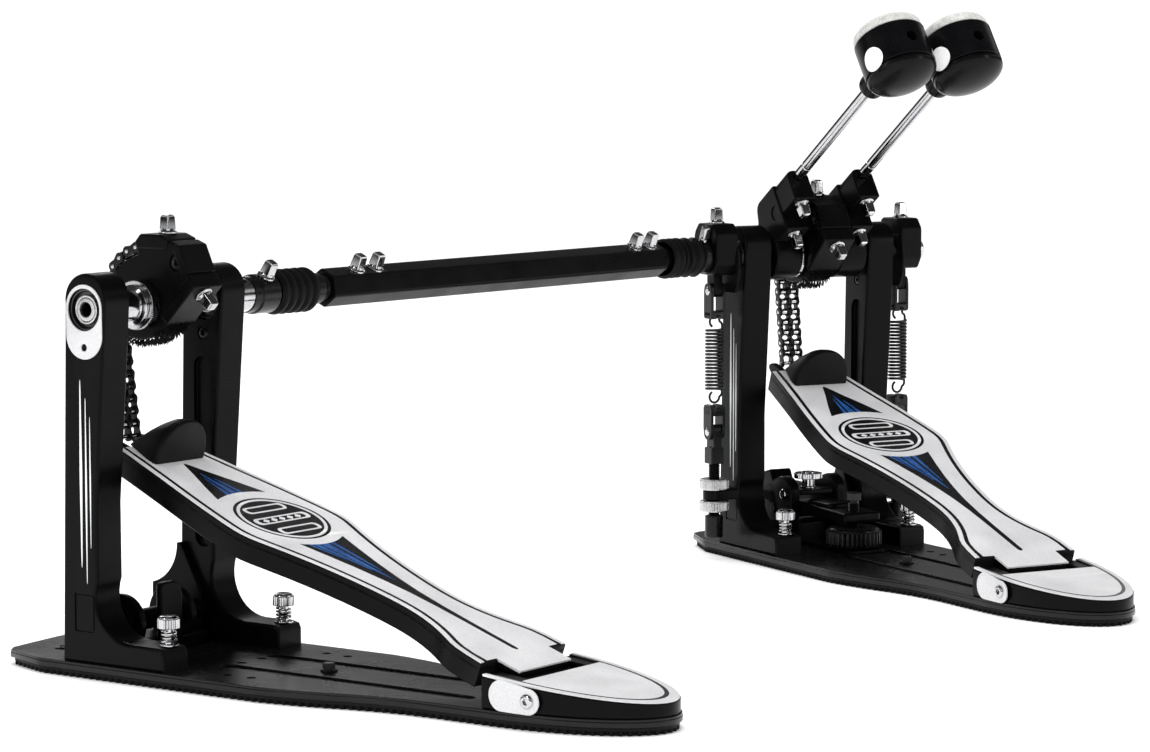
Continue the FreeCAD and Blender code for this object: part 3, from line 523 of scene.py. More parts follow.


# The last colour given to several finishes is a painted edge highlight, laid on their sharp edges.
FINISHES = {
    "powder_coat": material("satin_powder_coat", (0.0008, 0.0008, 0.001), (0.0022, 0.0022, 0.0025), 0.0,
                            (0.26, 0.38), 2200, 0.12, specular=0.08, edge_highlight=(0.012, 0.012, 0.013)),
    "base_steel": material("painted_steel_sheet", (0.002, 0.002, 0.0025), (0.005, 0.005, 0.0055), 0.0,
                           (0.22, 0.34), 1500, 0.06, mottle=25, specular=0.25, edge_highlight=(0.03, 0.03, 0.03)),
    "rubber": material("matt_rubber", (0.0015, 0.0015, 0.0015), (0.004, 0.004, 0.004), 0.0,
                       (0.45, 0.62), 1800, 0.25, specular=0.15),
    "cast_aluminium": material("sanded_aluminium", (0.52, 0.52, 0.53), (0.72, 0.72, 0.73), 0.25,
                               (0.38, 0.50), 1700, 0.45, mottle=40, edge_highlight=(0.9, 0.9, 0.9)),
    "black_plastic": material("moulded_plastic", (0.0015, 0.0015, 0.002), (0.004, 0.004, 0.0045), 0.0,
                              (0.20, 0.28), 1400, 0.04, specular=0.11),
    "felt": material("pressed_felt", (0.30, 0.30, 0.29), (0.56, 0.56, 0.54), 0.0,
                     (0.85, 0.95), 1300, 1.0, mottle=260, sheen=0.2),
    "chrome": material("polished_chrome", (0.44, 0.44, 0.45), (0.58, 0.58, 0.59), 1.0,
                       (0.07, 0.15), 900, 0.025, mottle=120),
    "plain_steel": material("turned_steel", (0.45, 0.45, 0.45), (0.70, 0.70, 0.70), 1.0,
                            (0.22, 0.36), 1600, 0.25, mottle=200),
    "black_steel": material("blackened_steel", (0.002, 0.002, 0.002), (0.008, 0.008, 0.008), 0.2,
                            (0.22, 0.34), 1500, 0.12, specular=0.28, edge_highlight=(0.05, 0.05, 0.05)),
    "white_paint": material("printed_white", (0.74, 0.74, 0.74), (0.86, 0.86, 0.86), 0.0,
                            (0.40, 0.55), 2500, 0.1),
    "blue_foil": material("blue_foil", (0.010, 0.045, 0.20), (0.030, 0.16, 0.50), 0.4,
                          (0.22, 0.34), 1500, 0.1, mottle=90, coat=0.4),
    "deep_black": material("gloss_black_print_and_shade", (0.002, 0.002, 0.003), (0.006, 0.006, 0.007), 0.0,
                           (0.16, 0.26), 1200, 0.05, coat=0.2),
}


# ---------------------------------------------------------------- shared hardware

def key_bolt(flange=4.8):
    """A square-headed key bolt standing on its surface: washer, cone, tapering square."""
    half = min(3.0, flange - 0.6)
    cone = half + 0.7
    profile = [(0, 0.02), (flange, 0.02), (flange, 0.95), (cone, 1.4), (cone - 0.5, 2.6), (0, 2.6)]
    skirt = turned(profile, 0.2, 32)
    rings = []
    for z, share, corner in ((1.6, 0.98, 0.5), (2.4, 1.0, 0.6), (8.0, 0.92, 0.7), (9.0, 0.80, 0.8),
                             (9.5, 0.52, 0.7)):
        size = half * share
        square = soften([(-size, -size), (size, -size), (size, size), (-size, size)], corner)
        rings.append([(x, y, z) for x, y in square])
    return skirt, loft(rings)


def add_bolt(piece, point, direction, flange=4.8, place=HERE):
    """A key bolt on a point of a place, standing along a direction."""
    for shape in key_bolt(flange):
        piece.add(shape, place @ aim(point, direction))


def socket_screw(radius=3.4, height=1.8):
    """A low round screw with a six-sided recess."""
    head = turned([(0, 0), (radius, 0), (radius, height * 0.6), (radius - 1.0, height), (0, height)], 0.5, 32)
    recess = plate(circle(0, 0, radius * 0.5, 6), height - 1.2, height + 1, 0.01, 0)
    return carve(head, recess)


# ---------------------------------------------------------------- base, mat, heel

def round_end(half, start, length, steps=28):
    """A quarter of an ellipse from the side of the heel to its tip."""
    angles = [math.pi / 2 * k / steps for k in range(1, steps)]
    return [(half * math.cos(t), start - length * math.sin(t)) for t in angles] + [(0.4, start - length)]


def floor_side(inset):
    """The right-hand edge of the base, from the front to the tip of the heel."""
    wide = 55.5 - inset
    waist = 38.5 - inset
    side = [(2.0, 70 - inset), (30.0, 66.6 - inset), (40.0 - inset, 65.2 - inset)]
    side += [(46.0 - inset, 61.0 - inset), (wide - 1.2, 36.0), (wide, 30.0), (wide, -108.0)]
    side += bow(side[-1], (wide - 4.5, -135.0), (waist + 6, -158.0), 12)
    side += [(waist + 2.6, -174), (waist + 0.7, -188), (waist, -202.0), (waist, HEEL_START)]
    return side + round_end(waist, HEEL_START, HEEL_ROUND - inset)


def toothed(loop, pitch, depth):
    """An outline with a row of small teeth round it."""
    points = [Vector(p) for p in loop]
    lengths = [(points[(k + 1) % len(points)] - p).length for k, p in enumerate(points)]
    count = int(sum(lengths) / pitch) * 4
    step = sum(lengths) / count
    out = []
    k = 0
    passed = 0.0
    for i in range(count):
        want = i * step
        while passed + lengths[k] < want:
            passed += lengths[k]
            k += 1
        a, b = points[k], points[(k + 1) % len(points)]
        ahead = (b - a).normalized()
        inward = Vector((ahead.y, -ahead.x)) * (depth if i % 4 in (2, 3) else 0.0)
        out.append(tuple(a + ahead * (want - passed) + inward))
    return out


def make_base(prefix, body, place):
    outline = mirrored(floor_side(0))
    slots = [capsule(x, -210, -62, 4.2) for x in (-18, 18)]
    spots = ((38.4, -78), (37.4, -92.5), (7.8, -61))
    holes = [circle(side * x, y, 2.4, 20) for x, y in spots for side in (1, -1)]
    base = Piece(f"{prefix}_base_sheet", body, place, "base_steel")
    base.add(plate(outline, 4.0, 6.8, 0.5))
    base.add(plate([offset(outline, 0.2, True), *slots, *holes], 6.6, PLATE_TOP, 0.35))
    base.done(f"{prefix}_base_plate")
    pegs = Piece(f"{prefix}_base_screws", body, place, "black_steel")
    stop_screw = at(-1.5, -112, 0)
    pegs.add(peg(3.2, 7.8, 12.4, 0.7, 6), stop_screw)
    pegs.add(peg(4.4, 7.8, 9.4, 0.5), stop_screw)
    for x in (-28, 28):
        pegs.add(socket_screw(4.0, 1.2), at(x, 42, PLATE_TOP - 0.1))
    pegs.done()
    mat = Piece(f"{prefix}_grip_mat", body, place, "rubber")
    mat.add(plate(mirrored(floor_side(1.5)), 2.1, 4.0, 0.4))
    mat.add(plate(toothed(mirrored(floor_side(1.6)), 4.4, 1.5), 0.0, 2.3, 0.25, 1))
    mat.done(f"{prefix}_rubber_mat")


def heel_side(inset, tip_inset=None):
    """The right-hand edge of the heel, from its front to its tip."""
    tip_inset = inset if tip_inset is None else tip_inset
    half = 37.5 - inset
    front = HEEL_FRONT - min(inset, 0.4)
    return [(half, front), (half, HEEL_START), *round_end(half, HEEL_START, HEEL_ROUND - 1 - tip_inset)]


def lean(piece):
    """Bring the top of a heel piece down towards the tip."""
    for v in piece.whole.verts:
        share = max(0.0, (HEEL_FRONT - v.co.y) / (HEEL_ROUND + HEEL_FRONT - HEEL_START))
        high = (v.co.z - PLATE_TOP) / (HEEL_TOP - PLATE_TOP)
        v.co.z -= HEEL_DROP * share * max(0.0, high)


def make_heel(prefix, body, place):
    notch = [(22.5, -251.4), (22.5, HEEL_FRONT)]
    heel = Piece(f"{prefix}_heel_casting", body, place, "powder_coat")
    heel.add(plate(soften(mirrored(notch + heel_side(0)), 0.3, 2), PLATE_TOP, HEEL_TOP - 0.9, 1.1))
    ears = tube(6.2, 3.0, -2.0, 2.0, 0.3)
    heel.add(ears, at(*HINGE) @ at(24.6) @ ALONG_X)
    lean(heel)
    heel.done(f"{prefix}_heel_block")
    top = Piece(f"{prefix}_heel_plates", body, place, "cast_aluminium")
    top.add(plate(u_strip(heel_side(0.5), heel_side(3.4, 6.2)), HEEL_TOP - 1.2, HEEL_TOP, 0.2))
    field = [(x, y) for x, y in heel_side(5.4, 8.6) if y < -253]
    field = [(22.0, -252.2), (field[0][0], -252.2)] + field
    top.add(plate(mirrored(field), HEEL_TOP - 1.2, HEEL_TOP - 0.02, 0.15))
    lean(top)
    top.done()
    ground = Piece(f"{prefix}_heel_ground", body, place, "deep_black")
    inlay = [(22.6, -251.6), (33.0, -251.6)] + [(x, y) for x, y in heel_side(2.0) if y < -252]
    strips = [[(side * 35.5, -252.5), (side * 35.5, -234.0), (side * 31.8, -234.0), (side * 31.8, -252.5)]
              for side in (-1, 1)]
    for outline in (mirrored(inlay), *strips):
        ground.add(plate(outline, HEEL_TOP - 1.4, HEEL_TOP - 0.2, 0.05, 1))
    lean(ground)
    ground.done()
    badge = Piece(f"{prefix}_heel_badges", body, place, "cast_aluminium")
    screws = Piece(f"{prefix}_heel_screws", body, place, "chrome")
    half_turn = [math.radians(10 * k - 90) for k in range(19)]
    for side in (-1, 1):
        front = [(side * (-245.0 + 7.6 * math.cos(t)), 15.4 + 7.6 * math.sin(t)) for t in half_turn]
        rear = [(side * (-260.0 - 6.2 * math.cos(t)), 14.0 - 6.2 * math.sin(t)) for t in half_turn]
        badge.add(plate(front + rear, -0.3, 0.75, 0.3), wall(side, 37.2))
        screws.add(socket_screw(3.6, 1.5), aim((side * 37.7, -259.6, 14.2), (side, 0, 0)))
    badge.done()
    screws.done()
    pin = Piece(f"{prefix}_hinge_rod", body, place, "plain_steel")
    pin.add(peg(3.0, -30, 30, 0.5), at(*HINGE) @ ALONG_X)
    pin.done(f"{prefix}_hinge_pin")


# ---------------------------------------------------------------- posts

def post_outline():
    """A post seen along X: round head, tapering column and long foot."""
    column = [(17.5, 8.0), (13.5, 187.5)]
    column += bow(column[-1], (0, 203.0), (-13.5, 187.5), 18)
    column += [(-6.2, 88.0), (-6.4, 50.0)]
    column += bow(column[-1], (-9.0, 29.0), (-26.0, 20.0), 12)
    column += [(-45.0, 20.0), (-48.3, 19.2), (-49.5, 16.5), (-49.5, 8.0)]
    return column


def bracket_arm(side):
    """The arm that carries a tension rod beside a post."""
    round_tip = 6.8
    low, high = SPRING_Y - round_tip, SPRING_Y + round_tip
    tip = bow((ROCKER_X, low), (ROCKER_X + round_tip, SPRING_Y), (ROCKER_X, high), 14)
    outline = [(side * x, y) for x, y in ((52, low), (ROCKER_X, low), *tip, (52, high))]
    return plate([outline, circle(side * ROCKER_X, SPRING_Y, 3.9, 32)], 37, 43, 0.8)


def make_post(prefix, body, place, side, bracket):
    name = SIDE_NAME[side]
    low, high = (POST_IN, POST_OUT) if side > 0 else (-POST_OUT, -POST_IN)
    shape = side_plate(post_outline(), low, high, 1.6, 3)
    bore = placed(peg(11.0, -20, 20, 0.01), at((low + high) / 2, 0, AXLE) @ ALONG_X)
    inner = side * POST_IN
    pocket = placed(side_plate(capsule(0.5, 62, 150, 5.6), -2.6, 2.6, 0.6), at(inner))
    screw_hole = placed(peg(3.4, -1.4, 1.4, 0.3), at(inner, 0, POST_SCREW_Z) @ ALONG_X)
    panel_edge = [(-4.3, 23.5), (9.0, 23.5), (9.0, 43.0), (-4.3, 43.0)]
    panel = placed(side_plate(soften(panel_edge, 1.2), -0.7, 0.7, 0.2), at(side * POST_OUT))
    post = Piece(f"{prefix}_{name}_column", body, place, "powder_coat")
    post.add(carve(shape, bore, pocket, screw_hole, panel))
    inlay = soften([(-3.4, 24.4), (8.1, 24.4), (8.1, 42.1), (-3.4, 42.1)], 1.0)
    post.add(side_plate(inlay, -0.9, -0.2, 0.2), at(POST_OUT if side > 0 else 1.1 - POST_OUT))
    if bracket:
        post.add(bracket_arm(side))
    post.done(f"{prefix}_{name}_post")
    screw = Piece(f"{prefix}_{name}_column_screw", body, place, "black_steel")
    screw.add(socket_screw(3.2, 1.2), aim((inner + side * 1.3, 0, POST_SCREW_Z), (-side, 0, 0)))
    screw.done()


def make_stripes(prefix, body, place):
    """Plain tapered pinstripes down the outer side of the left post."""
    print_work = Piece(f"{prefix}_post_stripes", body, place, "white_paint")
    for y, low, high, half in ((3.6, 56, 150, 0.9), (0.2, 48, 141, 0.6), (-2.6, 66, 132, 0.45)):
        tip, middle = half * 0.3, (low + high) / 2
        stripe = [(-y - tip, low), (-y + tip, low), (-y + half, middle), (-y + tip, high), (-y - tip, high),
                  (-y - half, middle)]
        print_work.add(plate(soften(stripe, 6.0, 6), -0.2, 0.15, 0.04, 1), wall(-1, POST_OUT))
    print_work.done()


def make_bearings(prefix, body, place, radii):
    """In each post: a dark seat, a shield and a bright inner race."""
    races = Piece(f"{prefix}_bearing_races", body, place, "plain_steel")
    shields = Piece(f"{prefix}_bearing_shields", body, place, "deep_black")
    for side, bore in ((-1, radii[0]), (1, radii[1])):
        middle = at(side * 45.0, 0, AXLE) @ ALONG_X
        races.add(tube(bore + 1.3, bore + 0.1, -7.4, 7.4, 0.4), middle)
        face = [(bore + 1.2, 5.2), (9.0, 5.2), (9.4, 7.6), (10.95, 7.6)]
        shields.add(turned([(r, -x) for r, x in face] + face[::-1], 0.3), middle)
    races.done(f"{prefix}_bearings")
    shields.done()


def make_badge(prefix, body, place):
    """The silver plate round the bearing on the outer side of the left post."""
    face = Piece(f"{prefix}_bearing_plate", body, place, "cast_aluminium")
    outline = capsule(0, 172.0, 185.8, 11.7, 24)
    shape = plate([outline, circle(0, AXLE, 10.6, 48), circle(0.0, 166.2, 1.9, 24)], -0.2, 0.8, 0.3)
    face.add(shape, wall(-1, POST_OUT))
    face.done()


def make_spurs(prefix, body, place):
    spurs = Piece(f"{prefix}_spur_screws", body, place, "chrome")
    for side in (-1, 1):
        foot = at(side * SPUR[0], SPUR[1], SPUR[2])
        spurs.add(tube(5.0, 2.4, 0.05, 1.0, 0.25), foot)
        spurs.add(peg(2.6, 0.5, 9.5, 0.2), foot)
        spurs.add(sweep(helix(3.55, 1.6, 7.9, 3.6), 0.62, 8), foot)
        knob = gear(5.6, 0.5, 26)
        spurs.add(plate(knob, 8.8, 13.8, 0.35), foot)
        spurs.add(turned([(0, 13.0), (4.9, 13.0), (4.9, 14.4), (3.9, 15.2), (0, 15.2)], 0.5), foot)
    spurs.done(f"{prefix}_spurs")


def add_gussets(bridge):
    """Two walls inside the posts, swept forward at the foot."""
    front = bow((16, 58), (19.5, 45.5), (33, 36), 12)
    outline = [(0, 8, 0.5), (0, 34), (13, 58, 1), (16, 58, 1), *front, (33, 8, 0.5)]
    for side in (-1, 1):
        low, high = sorted((side * 30.6, side * 34.4))
        bridge.add(side_plate(soften(outline, 0.3), low, high, 0.8))


def make_slave_bridge():
    bridge = Piece("slave_bridge_casting", "slave_frame", SLAVE, "powder_coat")
    rail = at(0, 4, 24) @ ALONG_X
    bridge.add(peg(5.5, -34.4, 34.4, 0.3), rail)
    for x in (-26, 12):
        bridge.add(tube(15.0, 5.4, x, x + 4, 1.0), rail)
        bridge.add(tube(9.0, 5.4, x - 1.2, x + 5.2, 0.6), rail)
    bridge.add(block((-28, 28), (-8, 16), (8, 15), 3, 1.2))
    tab = soften([(-10, 8), (6, 8), (6, 40, 6), (2, 44, 4), (-10, 44, 3)], 2)
    bridge.add(placed(plate(tab, 6, 10, 1.0), turn(90, "X")))
    add_gussets(bridge)
    bridge.done("slave_bridge")


# ---------------------------------------------------------------- footboard

def board_side():
    """The right-hand edge of a footboard, from the toe to the heel."""
    side = [(22.5, BOARD_LENGTH), (25.6, 234.0), (29.0, 216.0)]
    side += bow(side[-1], (35.8, 183.0), (39.8, 158.0), 10)
    side += bow(side[-1], (39.6, 146.0), (36.8, 138.0), 6)
    side += bow(side[-1], (25.0, 99.0), (19.8, 62.0), 12)
    side += bow(side[-1], (22.6, 41.0), (30.5, 23.0), 8)
    side += [(33.0, 19.2), (34.0, 15.0), (34.0, 0.0)]
    return side


def ease(path, rounds=3):
    """The path with its bends smoothed, its ends kept."""
    for _ in range(rounds):
        inner = [((a[0] + 2 * p[0] + b[0]) / 4, (a[1] + 2 * p[1] + b[1]) / 4)
                 for a, p, b in zip(path, path[1:], path[2:])]
        path = [path[0], *inner, path[-1]]
    return path


def window_front():
    """The dark window between the toe stop and the emblem."""
    right = [(0.8, 226.5), (6.0, 214.0), (12.5, 200.0), (18.5, 185.6)]
    base = bow((18.5, 185.6), (0.0, 189.4), (-18.5, 185.6), 10)
    return soften(right + base + [(-12.5, 200.0), (-6.0, 214.0), (-0.8, 226.5)], 0.8, 2)


def window_back():
    """The dark window behind the emblem, which narrows into a slot down to the heel."""
    right = [(17.0, 132.0), (12.6, 116.0), (8.6, 100.0), (5.4, 84.0), (3.4, 70.0), (2.3, 54.0), (1.9, 36.0),
             (1.7, 6.0)]
    base = bow((-17.0, 132.0), (0.0, 127.6), (17.0, 132.0), 10)
    left = [(-x, y) for x, y in reversed(right)]
    return soften([*base[:-1], *right, (0.9, 4.2), (-0.9, 4.2), *left], 0.6, 2)


def make_footboard(prefix, body, place):
    board = place @ BOARD
    side = ease(board_side())
    outline = mirrored(side)
    casting = Piece(f"{prefix}_footboard_casting", body, board, "powder_coat")
    casting.add(plate(outline, -4.6, -0.5, 0.5))
    skirt = mirrored([(x, y if y < 250 else y - 4) for x, y in offset(side, 4.5)])
    skirt = [(x, max(y, 4.5)) for x, y in skirt]
    casting.add(plate([outline, skirt], -13.0, -2.0, 1.0))
    for s in (60, 104, 150, 196):
        half = min(abs(x) for x, y in side if abs(y - s) < 16) - 3.5
        casting.add(block((-half, half), (s - 1.5, s + 1.5), (-9.5, -3), 0.8, 0.5))
    casting.add(block((-20.6, 20.6), (-13.7, 6), (-3.9, -0.9), 1.0, 0.5))
    for x in (-12.5, 9.0):
        cheek = soften([(230, -9), (268, -9, 3.4), (272, -5.5, 3.4), (268, -2, 3.4), (230, -2)], 1.0)
        casting.add(side_plate(cheek, x, x + 3.5, 0.6))
    casting.done(f"{prefix}_footboard")
    knuckle = Piece(f"{prefix}_hinge_knuckle", body, place, "powder_coat")
    knuckle.add(tube(6.0, 3.05, -20, 20, 0.8), at(*HINGE) @ ALONG_X)
    knuckle.add(block((-19.6, 19.6), (-243, -229.5), (16, 23.5), 2.0, 0.8))
    knuckle.done()
    top = Piece(f"{prefix}_footboard_plates", body, board, "cast_aluminium")
    toe_end = BOARD_LENGTH - 0.6
    for mirror in (1, -1):
        edges = []
        for inset in (0.4, 3.0):
            edge = [(mirror * x, y) for x, y in offset(side, inset) if y < BOARD_LENGTH - 1]
            edges.append([(mirror * (BOARD_TOE - inset), toe_end), *edge[:-1], (edge[-1][0], 0.5)])
        top.add(plate(edges[0] + edges[1][::-1], -1.3, 0.0, 0.15))
    edge = [(x, y) for x, y in offset(side, 5.5) if 1.0 < y < BOARD_LENGTH - 2]
    field = [(BOARD_TOE - 5.3, toe_end), *edge, (edge[-1][0], 1.2), (20.7, 1.0), (20.6, -13.4)]
    top.add(plate([mirrored(field), window_front(), window_back(), EMBLEM], -1.3, -0.02, 0.15))
    top.done()
    ground = Piece(f"{prefix}_footboard_ground", body, board, "deep_black")
    inlay = [(x, min(250.8, max(y, 1.0))) for x, y in offset(side, 1.6)]
    ground.add(plate(mirrored(inlay), -1.0, -0.2, 0.05, 1))
    ground.done()
    blue = Piece(f"{prefix}_footboard_rays", body, board, "blue_foil")
    rays = [((-9.5, 129.6), (-6.0, 128.9), (-1.5, 96.0)), ((-4.6, 128.8), (0.6, 128.4), (1.2, 84.0)),
            ((2.6, 128.7), (5.6, 129.2), (3.4, 94.0)), ((-12.6, 130.5), (-10.8, 130.0), (-6.0, 110.0)),
            ((-8.2, 187.2), (-5.4, 187.9), (-3.4, 209.0)), ((-4.0, 188.1), (0.8, 188.6), (-1.0, 214.0)),
            ((2.4, 188.6), (5.2, 188.2), (2.2, 207.0))]
    for a, b, tip in rays:
        blue.add(plate([a, b, (tip[0] + 0.2, tip[1]), (tip[0] - 0.2, tip[1])], -0.5, -0.12, 0.04, 1))
    blue.done()
    emblem = Piece(f"{prefix}_footboard_emblem", body, board, "cast_aluminium")
    loops = [[scaled(EMBLEM, 0.93), scaled(EMBLEM, 0.86)]]
    for half, s in ((15, EMBLEM_MIDDLE + 12), (20, EMBLEM_MIDDLE), (15, EMBLEM_MIDDLE - 12)):
        bar = soften([(-half, s - 3.4), (half, s - 3.4), (half, s + 3.4), (-half, s + 3.4)], 3.2)
        loops.append([bar, scaled(bar, 0.86, 0.66)])
    for x in range(-12, 13, 6):
        loops.append([[(x - 2.2, EMBLEM_MIDDLE), (x, EMBLEM_MIDDLE - 2), (x + 2.2, EMBLEM_MIDDLE),
                       (x, EMBLEM_MIDDLE + 2)]])
    for outline in loops:
        emblem.add(plate(outline, -0.6, -0.04, 0.1))
    emblem.done()
    make_toe_stop(prefix, body, board)


def scaled(loop, across, along=None):
    """A loop shrunk about its middle."""
    along = along or across
    cx = (max(x for x, y in loop) + min(x for x, y in loop)) / 2
    cy = (max(y for x, y in loop) + min(y for x, y in loop)) / 2
    return [(cx + (x - cx) * across, cy + (y - cy) * along) for x, y in loop]


def make_toe_stop(prefix, body, board):
    """A rubber hood: an upright face towards the heel, sloping off towards the drum."""
    rings = []
    for s, half, high in ((229.0, 16.6, 20.2), (229.3, 17.8, 21.4), (230.2, 18.4, 22.0), (231.8, 18.5, 22.0),
                          (232.6, 18.0, 21.4), (233.4, 18.2, 21.6), (237.5, 17.4, 19.8), (242.0, 15.9, 16.2),
                          (246.5, 14.4, 11.8), (250.5, 13.0, 6.6), (252.8, 12.2, 2.8), (253.6, 11.6, 1.0)):
        angles = [math.pi * k / 24 for k in range(25)]
        rings.append([(half * math.cos(t), s, 0.05 + high * math.sin(t) ** 0.8) for t in angles])
    stop = Piece(f"{prefix}_toe_hood", body, board, "rubber")
    stop.add(loft(rings))
    stop.done(f"{prefix}_toe_stop")


# ---------------------------------------------------------------- chain

def link_side(half_high, waist):
    """A link plate's outline: round ends and a drawn-in waist."""
    right = bow((half_high, 0.0), (0, -half_high), (-half_high, 0.0), 12)
    top = bow((-half_high, CHAIN_PITCH), (0, CHAIN_PITCH + half_high), (half_high, CHAIN_PITCH), 12)
    middle = CHAIN_PITCH / 2
    return [(half_high, 0.0), *right, (-waist, middle), (-half_high, CHAIN_PITCH), *top, (waist, middle)]


def add_link(plates, rollers, place, outer):
    """One link of the double chain, outer or inner, up from its first pin."""
    if outer:
        layers = [(-7.2, -6.4), (-0.7, 0.7), (6.4, 7.2)]
    else:
        layers = [(-6.2, -5.4), (-1.75, -0.95), (0.95, 1.75), (5.4, 6.2)]
    for low, high in layers:
        plates.add(plate(link_side(2.7, 1.9), low, high, 0.18, 1), place @ SIDE)
    for z in (0.0, CHAIN_PITCH):
        if outer:
            rollers.add(peg(1.15, -7.5, 7.5, 0.3, 16), place @ at(z=z) @ ALONG_X)
        else:
            for low in (-5.35, 1.8):
                rollers.add(peg(2.05, low, low + 3.55, 0.3, 20), place @ at(z=z) @ ALONG_X)


def chain_length(node, body, place, start, angle, count, outer_first, step=0.0):
    """Links from a first pin on; angle is measured from straight up towards -Y."""
    plates = Piece(f"{node}_plates", body, place, "black_steel")
    rollers = Piece(f"{node}_rollers", body, place, "chrome")
    at_pin = Vector(start)
    for k in range(count):
        tilt = turn(angle, "X")
        add_link(plates, rollers, Matrix.Translation(at_pin) @ tilt, (k % 2 == 0) == outer_first)
        at_pin = at_pin + (tilt @ Vector((0, 0, CHAIN_PITCH)))
        angle += step
    plates.done(node)
    rollers.done()


def make_chain(prefix, place):
    drive = "right_drive" if prefix == "main" else "slave_drive"
    chord = 2 * math.degrees(math.asin(3 * CHAIN_PITCH / 2 / CHAIN_RADIUS))
    step = 2 * math.degrees(math.asin(CHAIN_PITCH / 2 / CHAIN_RADIUS))

    def on_drum(degrees):
        t = math.radians(degrees)
        return (0, CHAIN_RADIUS * math.cos(t), AXLE + CHAIN_RADIUS * math.sin(t))

    top = chord + 3 * step
    chain_length(f"{prefix}_chain_wrap", drive, place, on_drum(top), 180 + top - step / 2, 3, True, -step)
    chain_length(f"{prefix}_chain_middle", f"{prefix}_chain_middle", place, on_drum(chord),
                 180 + chord / 2, 3, False)
    chain_length(f"{prefix}_chain_run", f"{prefix}_chain_run", place, on_drum(0), 180 - 7.5, 11, True)


# ---------------------------------------------------------------- cam and axles

def cam_edge():
    """The cam about the axle, seen along X: round towards the drum, stepped opposite."""
    r = 24.6
    start = math.degrees(math.atan2(24.35, 3.5))
    stop = math.degrees(math.atan2(-4.5, 24.18))
    back = [math.radians(start + (stop - start) * k / 20) for k in range(21)]
    drum = [(r * math.cos(t), r * math.sin(t)) for t in back]
    under = [(20.9, -10.2), (16.0, -14.9), (9.2, -17.4), (2.0, -17.9), (-7.0, -15.9), (-15.5, -9.4)]
    stepped = [(-33.4, 9.4), (-29.4, 16.6), (-23.6, 29.2), (-18.6, 31.6)]
    return drum + under + stepped + [(-11.0, 34.4), (0.8, 34.4), (4.0, 31.2)]


def make_cam(prefix, body, place):
    hub = place @ at(0, 0, AXLE)
    cam = Piece(f"{prefix}_cam_casting", body, hub, "powder_coat")
    disc = side_plate([soften(cam_edge(), 0.8, 2), circle(0, 0, 6.0, 32)], -10.2, 10.2, 0.8)
    recess = [placed(peg(4.6, -1.2, 1.2, 0.3), at(side * 10.2, *CAM_BOLT) @ ALONG_X) for side in (-1, 1)]
    cam.add(carve(disc, *recess))
    cap = soften([(3.8, 28.0), (4.9, 31.6), (1.2, 35.6), (-11.0, 35.6), (-17.4, 33.1), (-16.0, 28.0)], 0.8)
    cam.add(side_plate(cap, -11.0, 11.0, 0.9))
    upper = soften([(-18.6, 32.6), (-24.5, 30.4), (-30.5, 17.0), (-26.0, 15.5), (-20.5, 27.0)], 0.7)
    cam.add(side_plate(upper, -10.6, 10.6, 0.7))
    lower = soften([(-31.3, 16.0), (-34.7, 9.8), (-16.0, -9.5), (-11.0, -5.0), (-27.0, 12.0)], 0.8)
    cam.add(side_plate(lower, -11.0, 11.0, 0.9))
    cam.add(tube(11.6, 6.0, -11.0, 11.0, 0.8), ALONG_X)
    cam.done(f"{prefix}_cam")
    lining = Piece(f"{prefix}_cam_lining", body, hub, "rubber")
    for x in range(-8, 9, 2):
        for k in range(46):
            degrees = -160 + 150 * k / 45 + (x % 4) * 0.8
            t = math.radians(degrees)
            base = 17.4 + 6.6 * max(0.0, math.cos(math.radians(degrees + 20)))
            tip = base + 1.4 + 0.5 * math.sin(k * 2.4 + x)
            fleck = bmesh.new()
            bmesh.ops.create_cone(fleck, segments=5, radius1=0.55, radius2=0.1, depth=tip - base + 0.8)
            middle = (base + tip) / 2
            point = (x + 0.6 * math.sin(k * 1.7), middle * math.cos(t), middle * math.sin(t))
            lining.add(fleck, aim(point, (0.2 * math.sin(k * 3.1), math.cos(t), math.sin(t))))
    lining.done()
    screws = Piece(f"{prefix}_cam_screws", body, hub, "black_steel")
    for side in (-1, 1):
        screws.add(socket_screw(4.0, 1.2), aim((side * 9.0, *CAM_BOLT), (side, 0, 0)))
    screws.done()


def cam_bolts(piece, place):
    """The two key bolts of a cam: one on its cap, one on its lower pad."""
    hub = place @ at(0, 0, AXLE)
    add_bolt(piece, (0, -7.8, 35.6), (0, 0, 1), place=hub)
    add_bolt(piece, (0, -30.99, 5.91), (0, -0.716, -0.698), place=hub)


def add_yoke(piece, hub_start, centre, ears, radius=7.0):
    """A hub along X that ends in two rounded ears round a universal joint."""
    side = 1 if centre > hub_start else -1
    low, high = sorted((hub_start, centre - side * 9.0))
    piece.add(peg(radius, low, high, 0.8, 48), ALONG_X)
    ear = soften([(-11, -3.4), (2.0, -3.4, 3.0), (3.5, 0, 1.0), (2.0, 3.4, 3.0), (-11, 3.4)], 0.6)
    for near, far in ((5.0, 7.1), (-7.1, -5.0)):
        shape = plate([(side * x, y) for x, y in ear], near, far, 0.5)
        spin = HERE if ears == "Z" else turn(-90, "X")
        piece.add(shape, at(centre) @ spin)


